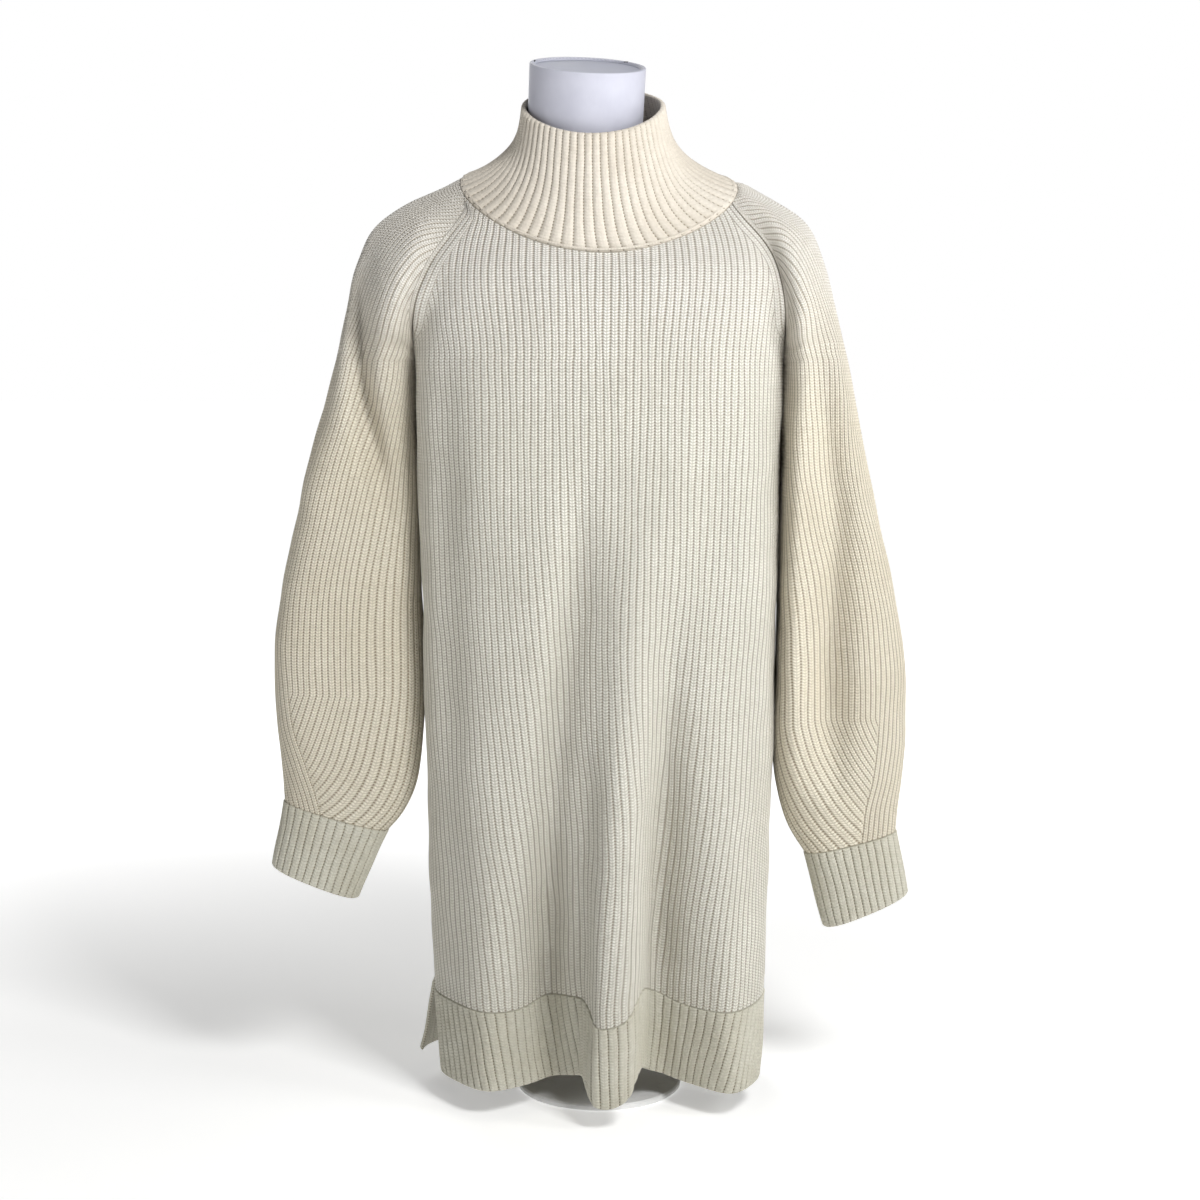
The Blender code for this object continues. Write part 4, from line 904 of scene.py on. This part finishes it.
# ---------------------------------------------------------------- the form's neck
COVER_SIDES, DISC_SIDES = 128, 96
ROLL_FALL, ROLL_LIP = 0.0006, 0.0010        # the roll's inner slope and the lip under it
ROLL_WIDTH, ROLL_STEPS, ROLL_ANGLE = 0.0017, 5, math.radians(35)
SMOOTH_ANGLE, PIN_SMOOTH_ANGLE = math.radians(50), math.radians(40)
DISC_THICK, DISC_LEVEL, DISC_UNDER = 0.0006, 0.0005, 0.0010      # and how far under the roll
DISC_DOME = ((0.014, 0.0003), (0.018, 0.0001))      # rings of the dome: inset, rise
STITCHES, STITCH_FROM, STITCH_SPAN = 31, 28.0, 128.0
STITCH_RADIUS, STITCH_SHAPE = 0.0004, (0.9, 2.6, 0.8)
STITCH_INSIDE, STITCH_LEVEL = 0.0003, 0.0026
PIN_RADIUS, PIN_LENGTH, PIN_SINK, PIN_LEVEL = 0.0007, 0.0050, 0.0026, 0.0027
PIN_TIP, PINS_AT = math.radians(80), (34.0, 158.0)


def select_only(piece):
    bpy.ops.object.select_all(action="DESELECT")
    piece.select_set(True)
    bpy.context.view_layer.objects.active = piece


def cover_neck(piece, finish):
    """Give a piece that is modelled upright on the neck's top edge its finish, and turn it
    onto the leaning neck."""
    piece.data.materials.append(finish)
    along = Vector((math.tan(NECK_ROLL), -math.tan(NECK_LEAN), 1.0))
    piece.rotation_euler = along.to_track_quat("Z", "Y").to_euler()
    piece.location = NECK_TOP
    select_only(piece)
    bpy.ops.object.transform_apply(location=True, rotation=True, scale=True)
    return piece


def start_cylinder(name, sides, radius, low, high):
    """Upright cylinder, open for shaping with nothing selected on it."""
    bpy.ops.object.select_all(action="DESELECT")
    bpy.ops.mesh.primitive_cylinder_add(vertices=sides, radius=radius, depth=high - low,
                                        location=(0, 0, (low + high) / 2))
    piece = bpy.context.active_object
    piece.name = name
    bpy.ops.object.transform_apply(location=True, rotation=False, scale=False)
    bpy.ops.object.mode_set(mode="EDIT")
    bpy.ops.mesh.select_all(action="DESELECT")
    return piece


def pick_face(piece, up):
    """Select only the end face of a cylinder, the top one or the bottom one."""
    bpy.ops.mesh.select_mode(type="FACE")
    shape = bmesh.from_edit_mesh(piece.data)
    shape.faces.ensure_lookup_table()
    for face in shape.faces:
        face.select = len(face.verts) > 4 and (face.normal.z > 0.5) == up
    bmesh.update_edit_mesh(piece.data)


def round_the_neck(name, degrees):
    """Copies of the new piece at +X, each turned to its angle about the neck, as one."""
    first = bpy.context.active_object
    first.name = name
    bpy.ops.object.transform_apply(location=True, rotation=True, scale=True)
    copies = [first]
    for _ in degrees[1:]:
        copy = first.copy()
        copy.data = first.data.copy()
        bpy.context.scene.collection.objects.link(copy)
        copies.append(copy)
    for copy, angle in zip(copies, degrees):
        copy.rotation_euler = (0.0, 0.0, math.radians(angle))
        copy.select_set(True)
    bpy.context.view_layer.update()
    bpy.ops.object.join()
    bpy.ops.object.transform_apply(location=True, rotation=True, scale=True)
    return first


def make_neck_cover(name, jersey):
    """Jersey skin of the neck: a tube that rolls inwards over the top edge."""
    piece = start_cylinder(name, COVER_SIDES, NECK_RADIUS + 2 * COVER_SKIN, -COVER_LENGTH, CAP_EDGE)
    pick_face(piece, True)
    bpy.ops.mesh.inset(thickness=CAP_ROLL)
    bpy.ops.mesh.inset(thickness=ROLL_FALL)
    bpy.ops.transform.translate(value=(0, 0, -CAP_DISH))
    bpy.ops.mesh.inset(thickness=ROLL_LIP)
    bpy.ops.mesh.delete(type="FACE")
    pick_face(piece, False)
    bpy.ops.mesh.delete(type="FACE")
    bpy.ops.object.mode_set(mode="OBJECT")
    roll = piece.modifiers.new("rolled_edge", "BEVEL")
    roll.width, roll.segments = ROLL_WIDTH, ROLL_STEPS
    roll.limit_method, roll.angle_limit = "ANGLE", ROLL_ANGLE
    skin = piece.modifiers.new("skin", "SOLIDIFY")
    skin.thickness, skin.offset = COVER_SKIN, -1.0
    for finish in (roll, skin):
        bpy.ops.object.modifier_apply(modifier=finish.name)
    bpy.ops.object.shade_smooth_by_angle(angle=SMOOTH_ANGLE)
    return cover_neck(piece, jersey)


def make_neck_disc(name, jersey):
    """The sunk disc that closes the neck, a little domed."""
    piece = start_cylinder(name, DISC_SIDES, NECK_RADIUS - CAP_ROLL + DISC_UNDER,
                           DISC_LEVEL - DISC_THICK / 2, DISC_LEVEL + DISC_THICK / 2)
    pick_face(piece, True)
    for inset, rise in DISC_DOME:
        bpy.ops.mesh.inset(thickness=inset)
        bpy.ops.transform.translate(value=(0, 0, rise))
    bpy.ops.object.mode_set(mode="OBJECT")
    bpy.ops.object.shade_smooth_by_angle(angle=SMOOTH_ANGLE)
    return cover_neck(piece, jersey)


def make_neck_stitches(name, thread):
    """Running stitches that hold the rolled edge down at the back."""
    bpy.ops.object.select_all(action="DESELECT")
    bpy.ops.mesh.primitive_uv_sphere_add(segments=8, ring_count=6, radius=STITCH_RADIUS, scale=STITCH_SHAPE,
                                         location=(NECK_RADIUS - CAP_ROLL - STITCH_INSIDE, 0.0,
                                                   STITCH_LEVEL))
    degrees = [STITCH_FROM + STITCH_SPAN * k / (STITCHES - 1) for k in range(STITCHES)]
    piece = round_the_neck(name, degrees)
    bpy.ops.object.shade_smooth()
    return cover_neck(piece, thread)


def make_pins(name, steel):
    """Two pins pushed into the roll, one at each side; only their ends show, coloured dark as painted shade.
    """
    bpy.ops.object.select_all(action="DESELECT")
    bpy.ops.mesh.primitive_cylinder_add(vertices=16, radius=PIN_RADIUS, depth=PIN_LENGTH,
                                        rotation=(PIN_TIP, 0.0, 0.0),
                                        location=(NECK_RADIUS - PIN_SINK, 0.0, PIN_LEVEL))
    piece = round_the_neck(name, PINS_AT)
    bpy.ops.object.shade_smooth_by_angle(angle=PIN_SMOOTH_ANGLE)
    return cover_neck(piece, steel)


# ---------------------------------------------------------------- finishes
STEP = {"interpolation_type": "SMOOTHSTEP"}
MM = 0.001


def colour(value):
    """sRGB hex to linear."""
    parts = [int(value[i:i + 2], 16) / 255 for i in (1, 3, 5)]
    return tuple(p / 12.92 if p <= 0.04045 else ((p + 0.055) / 1.055) ** 2.4 for p in parts) + (1.0,)


def plug(tree, node, given):
    """Set or link a node's inputs, given by name or in their order."""
    for key, value in given.items() if isinstance(given, dict) else enumerate(given):
        if isinstance(value, bpy.types.NodeSocket):
            tree.links.new(value, node.inputs[key])
        else:
            node.inputs[key].default_value = value


def add(tree, kind, given=(), out=0, **settings):
    """Add a node with its settings and inputs, and give one of its outputs."""
    node = tree.nodes.new("ShaderNode" + kind)
    for key, value in settings.items():
        setattr(node, key, value)
    plug(tree, node, given)
    return node.outputs[out]


def blank(name):
    """A new material, its node tree and its shader."""
    made = bpy.data.materials.new(name)
    made.use_nodes = True
    tree = made.node_tree
    return made, tree, tree.nodes["Principled BSDF"]


def wool_knit(name, ridge, slub_and_gap_shade, groove_shade, groove_width, lean, legs, depth, low_shade_tint=None):
    """Undyed lambswool yarn, rib knitted: matt with a soft halo of short fibres.  Each
    course is a V of two plump legs; the hollows between ribs are painted shade, darker and browner."""
    made, tree, shader = blank(name)
    knit = add(tree, "UVMap", uv_map="knit")
    across, up, _ = add(tree, "SeparateXYZ", (knit,)).node.outputs
    body = add(tree, "TexCoord", out="Object")

    # Distance from the rib's middle, 0 to 0.5, and place on a stitch along its slanted leg.
    share = add(tree, "Math", (across,), operation="FRACT")
    aside = add(tree, "Math", (share, 0.5), operation="SUBTRACT")
    off = add(tree, "Math", (aside,), operation="ABSOLUTE")
    slant = add(tree, "Math", (off, lean), operation="MULTIPLY")
    climb = add(tree, "Math", (up, slant), operation="SUBTRACT")
    part = add(tree, "Math", (climb,), operation="FRACT")
    wave = add(tree, "Math", (part, 2.0, -1.0), operation="MULTIPLY_ADD")
    turn = add(tree, "Math", (wave,), operation="ABSOLUTE")
    # A stitch is a loop along its leg; a groove is a row of dark dots between two loops, painted shade.
    loop = add(tree, "MapRange", (turn, 0.30, 0.92, 1.0, 0.0), **STEP)
    from_middle = add(tree, "MapRange", (off, 0.0, 0.13, 0.35, 1.0), **STEP)
    from_groove = add(tree, "MapRange", (off, 0.5 - groove_width * 0.4, 0.5 - groove_width * 1.6), **STEP)
    leg = add(tree, "Math", (from_middle, from_groove), operation="MULTIPLY")
    stitch = add(tree, "Math", (loop, leg), operation="MULTIPLY")
    # The groove's dark dots are painted shade, as dark as depth says.
    trench = add(tree, "MapRange", (off, 0.5 - groove_width, 0.5 - groove_width * 0.3), **STEP)
    dark = add(tree, "Math", (trench, depth), operation="MULTIPLY")
    dot = add(tree, "MapRange", (turn, 0.30, 0.80, 0.10, 1.0), **STEP)
    groove_shade_dots = add(tree, "Math", (dark, dot), operation="MULTIPLY")

    # Patches of yarn 71 mm wide, slubs of 4.5 mm, and fibres, really 0.02 mm thick, drawn
    # 0.7 mm wide so that they show.
    cloud, slub, fibre = (
        add(tree, "TexNoise", {"Vector": body, "Scale": 1 / (size * MM), "Detail": fine, "Roughness": rough})
        for size, fine, rough in ((71.429, 3.0, 0.6), (4.5455, 3.0, 0.7), (0.71429, 2.0, 0.6)))
    patch = add(tree, "MapRange", (cloud, 0.35, 0.65), **STEP)
    yarn = add(tree, "Mix", {0: patch, 6: colour(ridge[0]), 7: colour(ridge[1])}, 2, data_type="RGBA")
    # Slubs darken at random towards the hollow colour, the same colour that paints shade between the loops.
    knot = add(tree, "MapRange", (slub, 0.30, 0.75, 0.0, 0.30), **STEP)
    yarn = add(tree, "Mix", {0: knot, 6: yarn, 7: colour(slub_and_gap_shade)}, 2, data_type="RGBA")
    # Painted shade: the hollow colour shows between the loops, and the groove colour in dark dots along the
    # grooves.
    bare = add(tree, "Math", (1.0, stitch), operation="SUBTRACT")
    gap = add(tree, "Math", (bare, legs), operation="MULTIPLY")
    yarn = add(tree, "Mix", {0: gap, 6: yarn, 7: colour(slub_and_gap_shade)}, 2, data_type="RGBA")
    yarn = add(tree, "Mix", {0: groove_shade_dots, 6: yarn, 7: colour(groove_shade)}, 2, data_type="RGBA")
    # Painted shade: below the chest the yarn is tinted warmer and a little darker towards the bottom.
    if low_shade_tint:
        level = add(tree, "SeparateXYZ", (body,), 2)
        low = add(tree, "MapRange", (level, 0.83, 0.62), **STEP)
        tint = add(tree, "Mix", {0: low, 6: colour("#ffffff"), 7: colour(low_shade_tint)}, 2, data_type="RGBA")
        yarn = add(tree, "VectorMath", (yarn, tint), operation="MULTIPLY")

    haze = add(tree, "Math", (fibre, 0.18), operation="MULTIPLY")
    fuzz = add(tree, "Math", (slub, 0.35, haze), operation="MULTIPLY_ADD")
    height = add(tree, "Math", (stitch, 0.15 + legs, fuzz), operation="MULTIPLY_ADD")
    bump = add(tree, "Bump", {"Strength": 1.0, "Distance": 1.0 * MM, "Height": height})
    rough = add(tree, "MapRange", (slub, 0.2, 0.8, 0.82, 0.96), **STEP)
    plug(tree, shader, {"Base Color": yarn, "Normal": bump, "Roughness": rough, "IOR": 1.54,
                        "Specular IOR Level": 0.25, "Sheen Weight": 0.22, "Sheen Roughness": 0.45,
                        "Sheen Tint": colour("#fff8ea")})
    return made


def jersey_cover(name, light, shade):
    """Fine polyester jersey drawn tight over padding: nearly smooth, a dull gloss, a faint
    pull of its wales upwards."""
    made, tree, shader = blank(name)
    body = add(tree, "TexCoord", out="Object")
    wales = add(tree, "Mapping", {"Vector": body, "Scale": (1.0, 1.0, 0.15)})
    # Pulls 11 mm apart, patches of 33 mm, and a weave of 0.3 mm drawn 0.7 mm wide.
    pull = add(tree, "TexNoise", {"Vector": wales, "Scale": 1 / (11.111 * MM), "Detail": 4.0})
    cloud = add(tree, "TexNoise", {"Vector": body, "Scale": 1 / (33.333 * MM), "Detail": 3.0})
    weave = add(tree, "TexNoise", {"Vector": body, "Scale": 1 / (0.66667 * MM), "Detail": 1.0})
    patch = add(tree, "MapRange", (cloud, 0.3, 0.7), **STEP)
    cloth = add(tree, "Mix", {0: patch, 6: colour(light), 7: colour(shade)}, 2, data_type="RGBA")
    fine = add(tree, "Math", (weave, 0.25), operation="MULTIPLY")
    height = add(tree, "Math", (pull, 0.8, fine), operation="MULTIPLY_ADD")
    bump = add(tree, "Bump", {"Strength": 0.5, "Distance": 0.5 * MM, "Height": height})
    rough = add(tree, "MapRange", (cloud, 0.2, 0.8, 0.46, 0.58), **STEP)
    plug(tree, shader, {"Base Color": cloth, "Normal": bump, "Roughness": rough, "Sheen Weight": 0.15})
    return made


def pin_steel():
    """Nickelled dressmaker's pin, its bright steel coloured dark: painted shade of the cloth folds round it.
    """
    made, tree, shader = blank("pin_steel_painted_shade")
    body = add(tree, "TexCoord", out="Object")
    wear = add(tree, "TexNoise", {"Vector": body, "Scale": 1 / (1.6667 * MM), "Detail": 2.0})
    steel = add(tree, "Mix", {0: wear, 6: colour("#2c2d33"), 7: colour("#4a4c55")}, 2, data_type="RGBA")
    plug(tree, shader, {"Base Color": steel, "Metallic": 1.0, "Roughness": 0.4})
    return made


def powder_coat():
    """Powder-coated mild steel: white, fine orange peel, a satin gloss."""
    made, tree, shader = blank("white_powder_coat")
    body = add(tree, "TexCoord", out="Object")
    peel = add(tree, "TexNoise", {"Vector": body, "Scale": 1 / (1.1111 * MM), "Detail": 2.0})
    wear = add(tree, "TexNoise", {"Vector": body, "Scale": 1 / (22.222 * MM), "Detail": 5.0,
                                  "Roughness": 0.7})
    worn = add(tree, "MapRange", (wear, 0.55, 0.75), **STEP)
    coat = add(tree, "Mix", {0: worn, 6: colour("#ededec"), 7: colour("#dcdcda")}, 2, data_type="RGBA")
    bump = add(tree, "Bump", {"Strength": 0.25, "Distance": 0.4 * MM, "Height": peel})
    rough = add(tree, "MapRange", (wear, 0.3, 0.8, 0.36, 0.52), **STEP)
    plug(tree, shader, {"Base Color": coat, "Normal": bump, "Roughness": rough})
    return made


def plain_paper():
    """Matt seamless paper: pale and even, and brighter away from the object."""
    made, tree, shader = blank("pale_floor_paper")
    body = add(tree, "TexCoord", out="Object")
    cloud = add(tree, "TexNoise", {"Vector": body, "Scale": 1 / (166.67 * MM), "Detail": 2.0})
    paper = add(tree, "Mix", {0: cloud, 6: colour("#fbfbfa"), 7: colour("#f6f6f5")}, 2, data_type="RGBA")
    away = add(tree, "VectorMath", (body,), "Value", operation="LENGTH")
    glow = add(tree, "MapRange", (away, 0.3, 2.0, 0.36, 1.0), **STEP)
    plug(tree, shader, {"Base Color": paper, "Roughness": 0.9, "Emission Color": colour("#ffffff"),
                        "Emission Strength": glow})
    return made


# ---------------------------------------------------------------- camera, floor, light
LENS, SENSOR = 66.13, 36.0
EYE, LOOKS_DOWN = (0.0008, -2.1, 0.740), math.radians(7.058)
FLOOR_SIZE = 40.0
ROOM_LIGHT = 0.02
# Lamps: name, watts, size, place, aim.
LAMPS = (("key", 37.0, 0.6, (0.90, -1.45, 1.95), (0.0, 0.0, 0.6)),
         ("side", 10.0, 0.6, (1.70, -0.75, 1.20), (0.0, 0.0, 0.6)),
         ("fill", 2.5, 1.2, (-1.70, -1.00, 1.20), (0.0, 0.0, 0.6)),
         ("back", 22.0, 1.6, (-0.70, 2.30, 1.80), (0.0, 0.0, 0.5)))


def set_camera():
    data = bpy.data.cameras.new("view")
    data.sensor_width = SENSOR
    data.lens = LENS
    eye = bpy.data.objects.new("view", data)
    bpy.context.scene.collection.objects.link(eye)
    eye.location = EYE
    eye.rotation_euler = (math.pi / 2 - LOOKS_DOWN, 0.0, 0.0)
    bpy.context.scene.camera = eye


def set_floor():
    bpy.ops.mesh.primitive_plane_add(size=FLOOR_SIZE, location=(0, 0, 0))
    floor = bpy.context.active_object
    floor.name = "floor"
    floor.data.materials.append(plain_paper())


def set_light():
    world = bpy.data.worlds.new("studio")
    bpy.context.scene.world = world
    world.use_nodes = True
    tree = world.node_tree
    seen = add(tree, "LightPath", out="Is Camera Ray")
    strength = add(tree, "MapRange", (seen, 0.0, 1.0, ROOM_LIGHT, 1.0), **STEP)
    plug(tree, tree.nodes["Background"], {"Color": (1.0, 1.0, 1.0, 1.0), "Strength": strength})
    bpy.context.scene.view_settings.view_transform = "Standard"
    for name, power, size, spot, aim in LAMPS:
        data = bpy.data.lights.new(name, "AREA")
        data.energy = power
        data.size = size
        lamp = bpy.data.objects.new(name, data)
        bpy.context.scene.collection.objects.link(lamp)
        lamp.location = spot
        way = np.array(spot) - np.array(aim)
        tip = math.acos(way[2] / np.linalg.norm(way))
        lamp.rotation_euler = (tip, 0.0, math.atan2(way[1], way[0]) + math.pi / 2)


# ---------------------------------------------------------------- putting it together
set_camera()
# Painted shade in every wool: its hollow and groove colours and its depth, and its low tint towards the
# bottom.
body_wool = wool_knit("half_cardigan_lambswool", ridge=("#fcfaf5", "#f6f4ee"), slub_and_gap_shade="#b8b1a5",
                      groove_shade="#776c5c", groove_width=0.16, lean=1.3, legs=0.70, depth=0.82,
                      low_shade_tint="#fdfefa")
sleeve_wool = wool_knit("half_cardigan_lambswool_sleeve", ridge=("#faf8f3", "#f5f2eb"), slub_and_gap_shade="#b8b0a2",
                        groove_shade="#70644e", groove_width=0.16, lean=1.3, legs=0.62, depth=0.88,
                        low_shade_tint="#fcf8ec")
rib_wool = wool_knit("wide_rib_lambswool", ridge=("#d6d4c7", "#cdcabb"), slub_and_gap_shade="#a8a391", groove_shade="#665b42",
                     groove_width=0.085, lean=1.0, legs=0.25, depth=0.85)
collar_wool = wool_knit("collar_rib_lambswool", ridge=("#dcd5c9", "#d4ccbf"), slub_and_gap_shade="#b9b0a2",
                        groove_shade="#6f6249", groove_width=0.080, lean=1.0, legs=0.05, depth=0.8)

drapes, ways, centres = lay_drapes()
pieces = {}
for face, word in ((FRONT, "front"), (BACK, "back")):
    pieces[word + "_panel"] = make_panel(word + "_panel_knit", drapes[face], ways[face], centres[face],
                                         body_wool)
    pieces[word + "_hem_band"] = make_band(face, word + "_hem_band_knit", rib_wool)
for side, word in ((LEFT, "left"), (RIGHT, "right")):
    pieces["sleeve_" + word] = make_sleeve(side, "sleeve_%s_knit" % word, drapes[side, "sleeve"],
                                           ways[side, "sleeve"], centres[side, "sleeve"], sleeve_wool)
    pieces["cuff_" + word] = make_cuff(side, "cuff_%s_knit" % word, rib_wool)
pieces["collar"] = make_collar("collar_knit", collar_wool)
chain = make_seam_chain("collar_seam_chain", collar_wool)

# The size each piece is knitted to, before it hangs: width, length, flat area.
CUT = {
    "front_panel": (0.43, 0.84, 0.310), "back_panel": (0.43, 0.86, 0.320),
    "front_hem_band": (0.46, 0.076, None), "back_hem_band": (0.46, 0.076, None),
    "sleeve_left": (0.46, 0.66, 0.225), "sleeve_right": (0.44, 0.68, 0.220),
    "cuff_left": (0.23, 0.080, None), "cuff_right": (0.23, 0.080, None),
    "collar": (0.69, 0.105, 0.058),
}
for node, piece in pieces.items():
    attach(piece, "root")
    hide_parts(node)
    width, length, area = CUT[node]
    facts = {"area": area} if area else {}
    if node == "collar":
        facts["with_pieces"] = [chain]

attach(chain, "root")

jersey, coat = jersey_cover("white_jersey_cover", "#b9bac7", "#c1c2ce"), powder_coat()
# The disc's jersey is darker than the neck's: painted shade on the top, which gets less light.
disc_shade_jersey = jersey_cover("disc_jersey_painted_shade", "#a4a7b7", "#adb0c0")
thread = jersey_cover("white_sewing_thread", "#d4d5dd", "#dedfe6")
cover = make_neck_cover("neck_cover", jersey)
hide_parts("neck_cap")
for piece in (cover, make_neck_disc("neck_disc", disc_shade_jersey), make_neck_stitches("neck_stitches", thread)):
    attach(piece, "root")
pins = make_pins("neck_pins", pin_steel())
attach(pins, "root")
for node, finish in (("form_torso", jersey), ("stand_pole", coat), ("stand_foot", coat)):
    for place_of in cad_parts[node].material_slots:
        place_of.material = finish

set_floor()
set_light()
